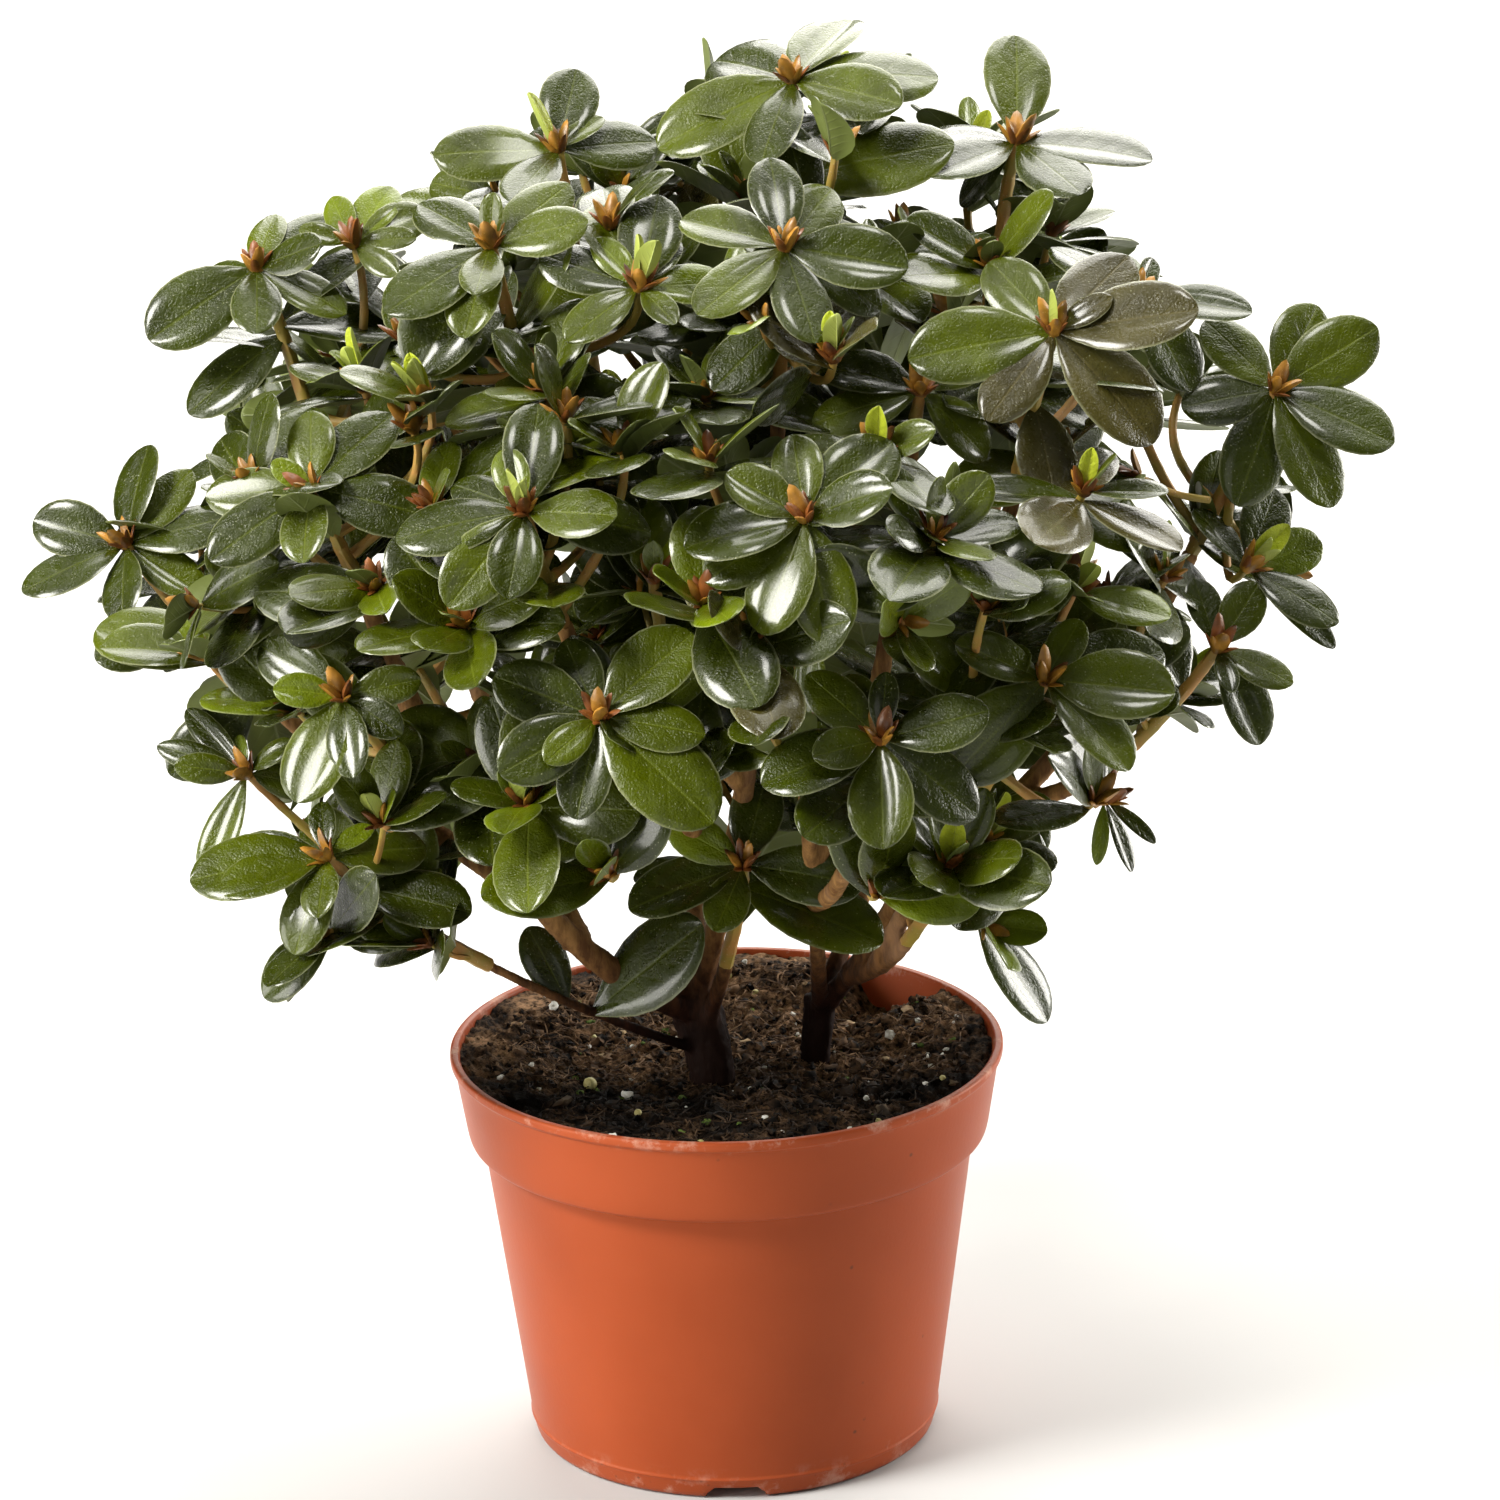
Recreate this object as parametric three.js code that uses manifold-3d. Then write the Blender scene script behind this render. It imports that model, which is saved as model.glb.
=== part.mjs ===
// An evergreen azalea in its grower's pot: a clump of two short trunks in potting soil, the boughs that
// fork from them, and a broad crown of leaf rosettes. Millimetres, +Z up, with the origin under the
// middle of the pot, on the surface that it stands on. -Y is the side that the plant is seen from.

import * as THREE from "three";
import { mergeVertices } from "three/addons/utils/BufferGeometryUtils.js";
import Module from "manifold-3d";

const wasm = await Module();
wasm.setup();

// ---------------------------------------------------------------- driving dimensions

const CLEARANCE = 0.3; // between pieces that touch on the real plant

const POT = {
  height: 96,
  rimRadius: 65,
  collarHeight: 21.4, // the thick band under the rim
  collarRadius: 61.4, // at the band's lower edge
  bodyRadius: 57.8, // just under the band
  footRadius: 47.9,
  footRound: 3.2,
  wall: 1.5,
  floorHeight: 3.2, // the floor's underside, above the foot ring
  notches: 3,
  notchWidth: 13,
  notchHeight: 3,
  drainHoles: 3,
  drainRadius: 4.5,
  drainCircle: 30,
  facets: 38,
};

const SOIL_LEVEL = 89.5; // the flat patch that the trunks stand on
const SOIL_ROUGHNESS = 1.1; // how far the surface rises and dips round that patch
const SOIL_PATCH = 36; // that patch's radius
const SOIL_SEED = 5;

const CROWN_HEART = new THREE.Vector3(5, 0, 185); // the crown's shoots point away from here
const CROWN_FLOOR = 103; // no leaf hangs lower than this over the pot

const TWIG = { boughRadius: 2.3, stemRadius: 1.7, tipRadius: 1.05, sides: 3 };
// Where the other shoots of a mass may end: how far to the side of its leading shoot, and how much
// further in. The roomiest of these places is taken each time.
const SHOOT_PLACES = [
  [33, 9],
  [26, 7],
  [28, 22],
  [20, 30],
];
const BEARINGS = 24; // directions tried for each of them
const EDGE_MARGIN = 8; // from a shoot's tip to the edge of its mass's own space
const MASS_REACH = 52; // length of a leading shoot inside its mass
const SHORTEST_BOUGH = 0.4; // and the least share of the whole run that is left to the bough
const SITE_DEPTH = 18; // from the leading tip in to the point that its space is measured from

const BUD = { radius: 2.6, below: 4, above: 4 }; // the knob that a rosette's leaves grow from
const LEAF = { perRosette: 6, length: 29, aspect: 0.52, arch: 0.8, rise: 0.3 };
// Slope added to a leaf, and the share of its length that is kept, until it has room.
const LEAF_TRIES = [
  [0, 1],
  [0.3, 1],
  [0.6, 1],
  [0.15, 0.75],
  [0.5, 0.75],
];
const GROWTH_SEED = 21;

const UP = new THREE.Vector3(0, 0, 1);
const point = (at) => new THREE.Vector3(...at);

// The two trunks: foot and fork, and the radius above the root flare and at the fork.
const TRUNKS = [
  { name: "trunk_left", foot: [-3, -9, 0], lean: [-4.5, 1.5, 22], radius: 5.5, forkRadius: 5.9 },
  { name: "trunk_right", foot: [21, 1, 0], lean: [1.5, 0, 17], radius: 3.6, forkRadius: 3.8 },
];
const ROOT_FLARE = 0.15; // share by which a trunk widens at the soil
const TRUNK_SIDES = 10;
const BOUGH_SIDES = 6;
const RING_SPACING = 26; // along a bough

// Each row is one mass of foliage and the bough that bears it: where its leading shoot ends, how many
// shoots it has, the limb that the bough leaves, how far along that limb, and the bough's radius there.
const MASSES = [
  { name: "left_shoulder", tip: [-87, -68, 252], shoots: 6, from: "trunk_left", along: 0.8, radius: 4.2, rise: 0.45 },
  { name: "upper_middle", tip: [17, -60, 302], shoots: 6, from: "trunk_left", along: 0.92, radius: 3.6, rise: 1.5 },
  { name: "back_middle", tip: [-6, 115, 240], shoots: 6, from: "trunk_left", along: 0.85, radius: 3.2, rise: 1.0 },
  { name: "front_low", tip: [5, -42, 154], shoots: 4, from: "trunk_left", along: 0.6, radius: 2.6, rise: 0.9 },
  { name: "lower_left", tip: [-87, -55, 162], shoots: 4, from: "trunk_left", along: 0.3, radius: 1.9, rise: 0.5 },
  { name: "centre", tip: [20, -108, 255], shoots: 6, from: "trunk_right", along: 0.75, radius: 2.4, rise: 1.1 },
  { name: "back_right", tip: [84, 84, 256], shoots: 6, from: "trunk_right", along: 0.9, radius: 2.8, rise: 1.2 },
  { name: "right_shoulder", tip: [75, -65, 283], shoots: 6, from: "trunk_right", along: 0.85, radius: 3.1, rise: 0.9 },
  { name: "far_left", tip: [-133, -6, 221], shoots: 5, from: "left_shoulder", along: 0.42, radius: 2.8, rise: 0.5 },
  { name: "upper_left", tip: [-101, -8, 286], shoots: 5, from: "left_shoulder", along: 0.55, radius: 2.6, rise: 0.9 },
  { name: "left_low", tip: [-81, -80, 208], shoots: 5, from: "left_shoulder", along: 0.66, radius: 2.3, rise: 0.2 },
  { name: "back_left", tip: [-88, 78, 254], shoots: 6, from: "left_shoulder", along: 0.28, radius: 3, rise: 0.9 },
  { name: "back_low_left", tip: [-84, 70, 186], shoots: 5, from: "back_left", along: 0.3, radius: 2.3, rise: 0.2 },
  { name: "left_of_top", tip: [-47, -46, 300], shoots: 5, from: "upper_middle", along: 0.42, radius: 2.7, rise: 0.9 },
  { name: "top", tip: [20, 2, 324], shoots: 5, from: "upper_middle", along: 0.6, radius: 2.6, rise: 1.5 },
  { name: "top_left", tip: [-33, 6, 308], shoots: 4, from: "left_of_top", along: 0.35, radius: 2.4, rise: 1.5 },
  { name: "centre_left", tip: [-40, -98, 255], shoots: 6, from: "upper_middle", along: 0.28, radius: 2.7, rise: 0.7 },
  { name: "back_top", tip: [2, 66, 299], shoots: 6, from: "back_middle", along: 0.4, radius: 2.6, rise: 1.4 },
  { name: "mid_front", tip: [-13, -82, 234], shoots: 4, from: "centre_left", along: 0.25, radius: 2.2, rise: 1.1 },
  { name: "front_left", tip: [-25, -110, 212], shoots: 5, from: "centre_left", along: 0.4, radius: 2.2, rise: 0.3 },
  { name: "right_middle", tip: [46, -58, 268], shoots: 4, from: "centre", along: 0.45, radius: 2.2, rise: 1.5 },
  { name: "front_middle", tip: [35, -112, 206], shoots: 5, from: "centre", along: 0.35, radius: 2.3, rise: 0.3 },
  { name: "far_right", tip: [126, -22, 256], shoots: 5, from: "right_shoulder", along: 0.34, radius: 2.7, rise: 0.5 },
  { name: "top_right", tip: [70, 8, 307], shoots: 5, from: "back_right", along: 0.4, radius: 2.5, rise: 1.4 },
  { name: "right_tip", tip: [111, -48, 204], shoots: 5, from: "far_right", along: 0.28, radius: 2.2, rise: 0.2 },
  { name: "low_right", tip: [58, -56, 164], shoots: 4, from: "right_shoulder", along: 0.1, radius: 2.5, rise: 0.3 },
  { name: "right_low", tip: [71, -92, 212], shoots: 5, from: "low_right", along: 0.45, radius: 2.3, rise: 1.4 },
  { name: "back_low_right", tip: [84, 62, 186], shoots: 5, from: "back_right", along: 0.22, radius: 2.3, rise: 0.2 },
];

// Side shoots that stand out on this plant, so that their places are known. The rule finds the places
// of the others.
const KNOWN_SHOOTS = {
  upper_left: [[-80, -5, 293]],
  left_of_top: [[-36, -62, 274]],
  far_right: [[97, -15, 279]],
  centre_left: [[-19, -85, 267]],
  left_shoulder: [[-102, -60, 254]],
  centre: [[48, -105, 252]],
  right_tip: [[101, -50, 224], [87, -45, 170]],
  upper_middle: [[36, -40, 293]],
  right_low: [[59, -100, 234]],
  far_left: [[-115, -45, 209]],
  front_left: [[-39, -85, 183], [-6, -95, 193]],
  lower_left: [[-67, -50, 141]],
};

// ---------------------------------------------------------------- helpers

// Random numbers from 0 to 1 that any language can repeat from the same seed.
function seeded(seed) {
  let state = seed;
  return () => {
    state = (Math.imul(state, 1664525) + 1013904223) >>> 0;
    return state / 2 ** 32;
  };
}

// A closed mesh as a solid that can be joined and cut.
function solidOf(geometry) {
  const bare = new THREE.BufferGeometry();
  bare.setAttribute("position", geometry.getAttribute("position"));
  bare.setIndex(geometry.index);
  const merged = mergeVertices(bare, 1e-4);
  return new wasm.Manifold(
    new wasm.Mesh({
      numProp: 3,
      vertProperties: merged.getAttribute("position").array,
      triVerts: new Uint32Array(merged.index.array),
    }),
  );
}

// The largest piece of a solid, without loose scraps and with sealed hollows filled.
function largestPiece(solid) {
  return solid.decompose().reduce((best, piece) => (piece.volume() > best.volume() ? piece : best));
}

function geometryOf(solid) {
  const mesh = solid.getMesh();
  const geometry = new THREE.BufferGeometry();
  geometry.setAttribute("position", new THREE.BufferAttribute(new Float32Array(mesh.vertProperties), 3));
  geometry.setIndex(new THREE.BufferAttribute(new Uint32Array(mesh.triVerts), 1));
  geometry.computeVertexNormals();
  return geometry;
}

function boxOf(solid) {
  const { min, max } = solid.boundingBox();
  return new THREE.Box3(point(min), point(max));
}

// A round tapering limb along a curve: a lathe of its radii, bent so that its axis follows the curve.
function limbGeometry(curve, radiusAt, { sides, rings, grow = 0 }) {
  const profile = [new THREE.Vector2(0, 0)];
  for (let i = 0; i <= rings; i++) profile.push(new THREE.Vector2(radiusAt(i / rings) + grow, i / rings));
  profile.push(new THREE.Vector2(0, 1));
  const lathe = new THREE.LatheGeometry(profile, sides);
  const frames = curve.computeFrenetFrames(rings, false);
  const position = lathe.getAttribute("position");
  for (let v = 0; v < position.count; v++) {
    const ring = Math.round(position.getY(v) * rings);
    const end = ring === 0 ? -grow : ring === rings ? grow : 0;
    const at = curve
      .getPointAt(ring / rings)
      .addScaledVector(frames.tangents[ring], end)
      .addScaledVector(frames.normals[ring], position.getX(v))
      .addScaledVector(frames.binormals[ring], -position.getZ(v));
    position.setXYZ(v, at.x, at.y, at.z);
  }
  return lathe;
}

const limbSolid = (curve, radiusAt, options) => solidOf(limbGeometry(curve, radiusAt, options));

// The stretch of a curve between two shares of its length.
function stretch(curve, from, to, steps = 10) {
  const points = [];
  for (let i = 0; i <= steps; i++) points.push(curve.getPointAt(from + ((to - from) * i) / steps));
  return new THREE.CatmullRomCurve3(points);
}

// ---------------------------------------------------------------- pot and soil

// Outside of the pot, from the foot up to the rim, as [radius, height].
function potOutside() {
  const { height, rimRadius, collarHeight, collarRadius, bodyRadius, footRadius, footRound } = POT;
  const band = height - collarHeight;
  return [
    [footRadius - footRound * 0.6, 0],
    [footRadius - footRound * 0.15, footRound * 0.4],
    [footRadius, footRound],
    [bodyRadius, band],
    [collarRadius - 0.8, band + 0.6],
    [collarRadius, band + 2.6],
    [rimRadius - 1, height - 2.2],
    [rimRadius, height - 1.4],
    [rimRadius, height - 0.4],
    [rimRadius - 0.5, height],
  ];
}

// Inside of the wall, from the rim down to the floor.
function potInside() {
  const { height, rimRadius, collarHeight, collarRadius, bodyRadius, footRadius, wall, floorHeight } = POT;
  const band = height - collarHeight;
  return [
    [rimRadius - wall - 0.5, height],
    [rimRadius - wall - 1, height - 1.5],
    [collarRadius - wall, band + 3.5],
    [bodyRadius - wall, band + 0.5],
    [footRadius - wall, floorHeight + wall + 2],
    [footRadius - wall - 1.6, floorHeight + wall],
  ];
}

function potSolid() {
  const { footRadius, floorHeight, wall, facets } = POT;
  const ringInside = footRadius - 5;
  const profile = [
    [0, floorHeight],
    [ringInside, floorHeight],
    [ringInside, 0],
    ...potOutside(),
    ...potInside(),
    [0, floorHeight + wall],
  ].map(([radius, z]) => new THREE.Vector2(radius, z));
  let pot = solidOf(new THREE.LatheGeometry(profile, facets).rotateX(Math.PI / 2));
  for (let i = 0; i < POT.notches; i++) {
    const notch = solidOf(notchShape().rotateZ((i * 2 * Math.PI) / POT.notches));
    pot = pot.subtract(notch);
  }
  for (let i = 0; i < POT.drainHoles; i++) {
    const angle = ((i + 0.5) * 2 * Math.PI) / POT.drainHoles;
    const hole = new THREE.CylinderGeometry(POT.drainRadius, POT.drainRadius, 4 * wall, 10)
      .rotateX(Math.PI / 2)
      .translate(POT.drainCircle * Math.sin(angle), -POT.drainCircle * Math.cos(angle), floorHeight + wall / 2);
    pot = pot.subtract(solidOf(hole));
  }
  return largestPiece(pot);
}

// A drain notch through the front of the foot ring, wider at the ground.
function notchShape() {
  const { notchWidth, notchHeight, footRadius } = POT;
  const half = notchWidth / 2;
  const outline = new THREE.Shape([
    new THREE.Vector2(-half, -1),
    new THREE.Vector2(half, -1),
    new THREE.Vector2(half, 0.2),
    new THREE.Vector2(half - 2, notchHeight),
    new THREE.Vector2(2 - half, notchHeight),
    new THREE.Vector2(-half, 0.2),
  ]);
  return new THREE.ExtrudeGeometry(outline, { depth: 14, bevelEnabled: false })
    .rotateX(Math.PI / 2)
    .translate(0, -footRadius + 10, 0);
}

// The filling of the pot, clear of its wall, with an uneven top round the flat patch at the trunks.
function soilSolid() {
  const random = seeded(SOIL_SEED);
  const inside = potInside().reverse();
  const side = inside.filter(([, z]) => z < SOIL_LEVEL - 3);
  const topRadius = POT.rimRadius - POT.wall - 2.2;
  const profile = [
    [0, POT.floorHeight + POT.wall + CLEARANCE],
    ...side.map(([radius, z], i) => [radius - CLEARANCE, i === 0 ? z + CLEARANCE : z]),
    [topRadius, SOIL_LEVEL],
    [(topRadius + SOIL_PATCH) / 2 + 6, SOIL_LEVEL],
    [SOIL_PATCH, SOIL_LEVEL],
    [0, SOIL_LEVEL],
  ].map(([radius, z]) => new THREE.Vector2(radius, z));
  const lathe = new THREE.LatheGeometry(profile, POT.facets).rotateX(Math.PI / 2);
  const merged = mergeVertices(lathe.deleteAttribute("normal").deleteAttribute("uv"), 1e-3);
  const position = merged.getAttribute("position");
  for (let v = 0; v < position.count; v++) {
    const radius = Math.hypot(position.getX(v), position.getY(v));
    const bump = (random() - 0.5) * 2 * SOIL_ROUGHNESS;
    if (position.getZ(v) > SOIL_LEVEL - 0.01 && radius > SOIL_PATCH + 1) position.setZ(v, SOIL_LEVEL + bump);
  }
  return solidOf(merged);
}

// ---------------------------------------------------------------- limbs

// Every limb made so far, by name: its curve, its radius along it, and its solid grown by the clearance.
const limbs = new Map();

function addLimb(name, curve, radiusAt, options) {
  let solid = limbSolid(curve, radiusAt, options);
  for (const other of limbs.values()) {
    if (boxOf(solid).intersectsBox(other.box)) solid = solid.subtract(other.grown);
  }
  solid = largestPiece(solid);
  const grown = limbSolid(curve, radiusAt, { ...options, grow: CLEARANCE });
  limbs.set(name, { curve, radiusAt, solid, grown, box: boxOf(grown) });
}

function addTrunk({ name, foot, lean, radius, forkRadius }) {
  const start = point(foot).setZ(SOIL_LEVEL + CLEARANCE);
  const end = start.clone().add(point(lean));
  const middle = start.clone().lerp(end, 0.5).add(new THREE.Vector3(0.6, 0, 0));
  const flare = (share) => 1 + ROOT_FLARE * Math.exp(-share * 6);
  const radiusAt = (share) => THREE.MathUtils.lerp(radius, forkRadius, share) * flare(share);
  // The foot's ring is flat, because the curve leaves the soil straight up.
  const curve = new THREE.CubicBezierCurve3(start, start.clone().setZ(start.z + 6), middle, end);
  addLimb(name, curve, radiusAt, { sides: TRUNK_SIDES, rings: 6 });
}

// The outward direction of the crown at a point.
const outward = (at) => at.clone().sub(CROWN_HEART).normalize();

// The way that a shoot's tip points: outward, turned up towards the light.
const tipAxis = (at) => outward(at).multiplyScalar(0.6).add(UP.clone().multiplyScalar(0.75)).normalize();

// The whole run of a bough and the leading shoot that it becomes, from its parent's middle to its tip.
function runOf(mass) {
  const parent = limbs.get(mass.from);
  const start = parent.curve.getPointAt(mass.along);
  const tip = point(mass.tip);
  const span = start.distanceTo(tip);
  const leave = tip.clone().sub(start).setZ(0).normalize().addScaledVector(UP, mass.rise).normalize();
  return new THREE.CubicBezierCurve3(
    start,
    start.clone().addScaledVector(leave, span * 0.35),
    tip.clone().addScaledVector(tipAxis(tip), -span * 0.3),
    tip,
  );
}

const siteOf = (mass) => point(mass.tip).addScaledVector(outward(point(mass.tip)), -SITE_DEPTH);
const sites = new Map(MASSES.map((mass) => [mass.name, siteOf(mass)]));

// How far a point lies inside a mass's own space: the part of the crown that is nearer to its site than
// to any other's. That space is convex, so a twig or leaf whose corners are in it is wholly in it.
function depthIn(name, at) {
  const site = sites.get(name);
  let depth = Infinity;
  for (const [other, otherSite] of sites) {
    if (other === name) continue;
    const gap = otherSite.distanceTo(site);
    const nearer = (at.distanceToSquared(otherSite) - at.distanceToSquared(site)) / (2 * gap);
    depth = Math.min(depth, nearer);
  }
  return depth;
}

// The share of a run at which the bough ends and its mass begins.
function mouthOf(mass, run) {
  const steps = 60;
  let mouth = Math.max(1 - MASS_REACH / run.getLength(), SHORTEST_BOUGH);
  for (let i = 0; i <= steps; i++) {
    const share = i / steps;
    const depth = depthIn(mass.name, run.getPointAt(share));
    if (share > mouth && depth < TWIG.stemRadius + CLEARANCE) mouth = share;
  }
  return Math.min(mouth + 1 / steps, 0.9);
}

function addBough(mass) {
  const run = runOf(mass);
  const mouth = mouthOf(mass, run);
  const radiusAt = (share) => THREE.MathUtils.lerp(mass.radius, TWIG.boughRadius * 0.85, share ** 0.8);
  mass.run = run;
  mass.mouth = mouth;
  const rings = Math.max(4, Math.round((run.getLength() * mouth) / RING_SPACING));
  addLimb(mass.name, stretch(run, 0, mouth), radiusAt, { sides: BOUGH_SIDES, rings });
}

// ---------------------------------------------------------------- foliage

// The corners of one leaf that lies along `along` with its face towards `top`: its outline from one
// side round its blunt tip to the other side, then the highest point of its arched face.
function leafCorners(root, along, top, length) {
  const { aspect, arch } = LEAF;
  const across = new THREE.Vector3().crossVectors(top, along).normalize();
  const normal = new THREE.Vector3().crossVectors(along, across);
  return [
    [0.62, -0.5, 0],
    [0.97, -0.16, 0],
    [0.97, 0.16, 0],
    [0.62, 0.5, 0],
    [0.55, 0, arch],
  ].map(([x, y, z]) =>
    root
      .clone()
      .addScaledVector(along, x * length)
      .addScaledVector(across, y * length * aspect)
      .addScaledVector(normal, z),
  );
}

// The frame of a shoot: rings of corners along its three-sided twig, then the middle of the bud that
// stands on its end, the bud's axis, and the directions of the bud's sectors.
function shootFrame(curve, radiusAt, rings, turn) {
  const { tangents, normals, binormals } = curve.computeFrenetFrames(rings, false);
  const direction = (ring, angle) =>
    normals[ring].clone().multiplyScalar(Math.cos(angle)).addScaledVector(binormals[ring], Math.sin(angle));
  const corner = (ring, side) =>
    curve
      .getPointAt(ring / rings)
      .addScaledVector(direction(ring, turn + (side * 2 * Math.PI) / TWIG.sides), radiusAt(ring / rings));
  const axis = tangents[rings];
  return {
    rings: tangents.map((_, ring) => Array.from({ length: TWIG.sides }, (_, side) => corner(ring, side))),
    tip: curve.getPointAt(1).addScaledVector(axis, BUD.below),
    axis,
    sector: (i) => direction(rings, turn + (i * 2 * Math.PI) / LEAF.perRosette),
  };
}

// A shoot as one closed body: its twig, the bud on its end, and the leaves that grow from the bud's
// sides. Leaf i belongs to sector i of the bud; a sector without a leaf is a plain side of the bud.
function shootGeometry({ rings, tip, axis, sector }, leaves) {
  const { sides } = TWIG;
  const count = LEAF.perRosette;
  const points = rings.flat();
  const faces = [2, 1, 0];
  for (let corner = 0; corner < points.length - sides; corner++) {
    const next = corner % sides === sides - 1 ? corner + 1 - sides : corner + 1;
    faces.push(corner, next, next + sides, corner, next + sides, corner + sides);
  }
  const heel = points.length - sides;
  const crown = points.length;
  const notch = crown + 1;
  points.push(tip.clone().addScaledVector(axis, BUD.above));
  for (let i = 0; i < count; i++) points.push(tip.clone().addScaledVector(sector(i - 0.5), BUD.radius));
  for (let i = 0; i < count; i++) {
    const next = (i + 1) % count;
    const [start, end] = [notch + i, notch + next];
    const [under, underNext] = [i, next].map((side) => heel + Math.floor((side * sides) / count));
    faces.push(under, end, start);
    if (under !== underNext) faces.push(under, underNext, end);
    if (!leaves[i]) {
      faces.push(crown, start, end);
      continue;
    }
    const first = points.length;
    points.push(...leafCorners(tip, leaves[i].along, axis, leaves[i].length));
    const outline = [start, first, first + 1, first + 2, first + 3, end];
    const face = first + 4;
    faces.push(face, crown, start, face, end, crown);
    for (let j = 1; j < outline.length; j++) {
      faces.push(face, outline[j - 1], outline[j]);
      if (j > 1) faces.push(start, outline[j], outline[j - 1]);
    }
  }
  const geometry = new THREE.BufferGeometry();
  geometry.setAttribute("position", new THREE.Float32BufferAttribute(points.flatMap((at) => at.toArray()), 3));
  geometry.setIndex(faces);
  return geometry;
}

function cornersOf(geometry) {
  const position = geometry.getAttribute("position");
  return Array.from({ length: position.count }, (_, v) => new THREE.Vector3().fromBufferAttribute(position, v));
}

// True if a piece of a mass stays in its mass's space, above the pot, and clear of limbs and neighbours.
function hasRoom(name, geometry, solid, neighbours = []) {
  const fits = cornersOf(geometry).every((at) => at.z > CROWN_FLOOR && depthIn(name, at) > CLEARANCE / 2);
  if (!fits) return false;
  const box = boxOf(solid);
  const meets = (other, otherBox) => box.intersectsBox(otherBox) && !solid.intersect(other).isEmpty();
  if ([...limbs.values()].some((limb) => meets(limb.grown, limb.box))) return false;
  return !neighbours.some((other) => meets(other, boxOf(other)));
}

// The leaves round one shoot's bud, evenly turned, each raised or shortened until it has room, or left
// out. `neighbours` are the mass's other shoots.
function leavesOf(name, shoot, neighbours, random) {
  const bud = { ...shoot, rings: shoot.rings.slice(-1) };
  const leaves = [];
  for (let i = 0; i < LEAF.perRosette; i++) {
    const away = shoot.sector(i + 0.3 * (random() - 0.5));
    const longest = LEAF.length * (0.85 + 0.25 * random());
    const rise = LEAF.rise + 0.25 * (random() - 0.5);
    for (const [lift, share] of LEAF_TRIES) {
      const slope = rise + lift;
      const along = away.clone().multiplyScalar(Math.cos(slope)).addScaledVector(shoot.axis, Math.sin(slope));
      const leaf = { along, length: longest * share };
      const alone = [];
      alone[i] = leaf;
      const geometry = shootGeometry(bud, alone);
      if (!hasRoom(name, geometry, solidOf(geometry), neighbours)) continue;
      leaves[i] = leaf;
      break;
    }
  }
  return leaves;
}

// Where the shoots of a mass end: its leading tip and those known, then points round the leading one,
// each in the roomiest direction.
function tipsOf(mass, taken) {
  const lead = point(mass.tip);
  const axis = outward(lead);
  const side = new THREE.Vector3().crossVectors(axis, UP).normalize();
  const tips = [lead, ...(KNOWN_SHOOTS[mass.name] ?? []).map(point)];
  taken.push(...tips);
  while (tips.length < mass.shoots) {
    let best = null;
    for (let i = 0; i < BEARINGS; i++) {
      const away = side.clone().applyAxisAngle(axis, (i * 2 * Math.PI) / BEARINGS);
      for (const [reach, drop] of SHOOT_PLACES) {
        const at = lead.clone().addScaledVector(away, reach).addScaledVector(axis, -drop);
        const room = Math.min(...taken.map((other) => other.distanceTo(at)));
        const fits = depthIn(mass.name, at) > EDGE_MARGIN && at.z > CROWN_FLOOR + 12;
        if (fits && (!best || room > best.room)) best = { at, room };
      }
    }
    if (!best) break;
    tips.push(best.at);
    taken.push(best.at);
  }
  return tips;
}

// One mass: the leading shoot from the bough's end, side shoots that fork from it, and their leaves.
function massSolid(mass, tips, random) {
  const length = mass.run.getLength();
  const stem = stretch(mass.run, mass.mouth + CLEARANCE / length, 1 - BUD.below / length);
  const taper = (share) => THREE.MathUtils.lerp(TWIG.stemRadius, TWIG.tipRadius, share);
  const shoots = [shootFrame(stem, taper, 3, random() * 2 * Math.PI)];
  tips.slice(1).forEach((tip, i) => {
    const fork = stem.getPointAt(Math.min(0.1 + 0.1 * i, 0.6));
    const axis = tipAxis(tip);
    const heel = tip.clone().addScaledVector(axis, -BUD.below);
    const bend = heel.clone().addScaledVector(axis, -0.4 * fork.distanceTo(heel));
    const curve = new THREE.QuadraticBezierCurve3(fork, bend, heel);
    const shoot = shootFrame(curve, (share) => taper(share) * 0.9, 2, random() * 2 * Math.PI);
    const bare = shootGeometry(shoot, []);
    if (hasRoom(mass.name, bare, solidOf(bare))) shoots.push(shoot);
  });
  const solids = shoots.map((shoot) => solidOf(shootGeometry(shoot, [])));
  shoots.forEach((shoot, i) => {
    const neighbours = solids.filter((_, other) => other !== i);
    solids[i] = solidOf(shootGeometry(shoot, leavesOf(mass.name, shoot, neighbours, random)));
  });
  return largestPiece(wasm.Manifold.union(solids));
}

// ---------------------------------------------------------------- assembly

const MATERIALS = {
  pot: new THREE.MeshStandardMaterial({ color: 0xc2613a, roughness: 0.45, metalness: 0 }),
  soil: new THREE.MeshStandardMaterial({ color: 0x2e241c, roughness: 1, metalness: 0 }),
  bark: new THREE.MeshStandardMaterial({ color: 0x6e4630, roughness: 0.9, metalness: 0 }),
  leaf: new THREE.MeshStandardMaterial({ color: 0x2f4a1f, roughness: 0.3, metalness: 0 }),
};

const azalea = new THREE.Group();

function addMesh(name, solid, material) {
  const mesh = new THREE.Mesh(geometryOf(solid), material);
  mesh.name = name;
  azalea.add(mesh);
}

addMesh("pot", potSolid(), MATERIALS.pot);
addMesh("soil", soilSolid(), MATERIALS.soil);

TRUNKS.forEach(addTrunk);
MASSES.forEach(addBough);
for (const [name, limb] of limbs) {
  addMesh(name.startsWith("trunk") ? name : `bough_${name}`, limb.solid, MATERIALS.bark);
}

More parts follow.
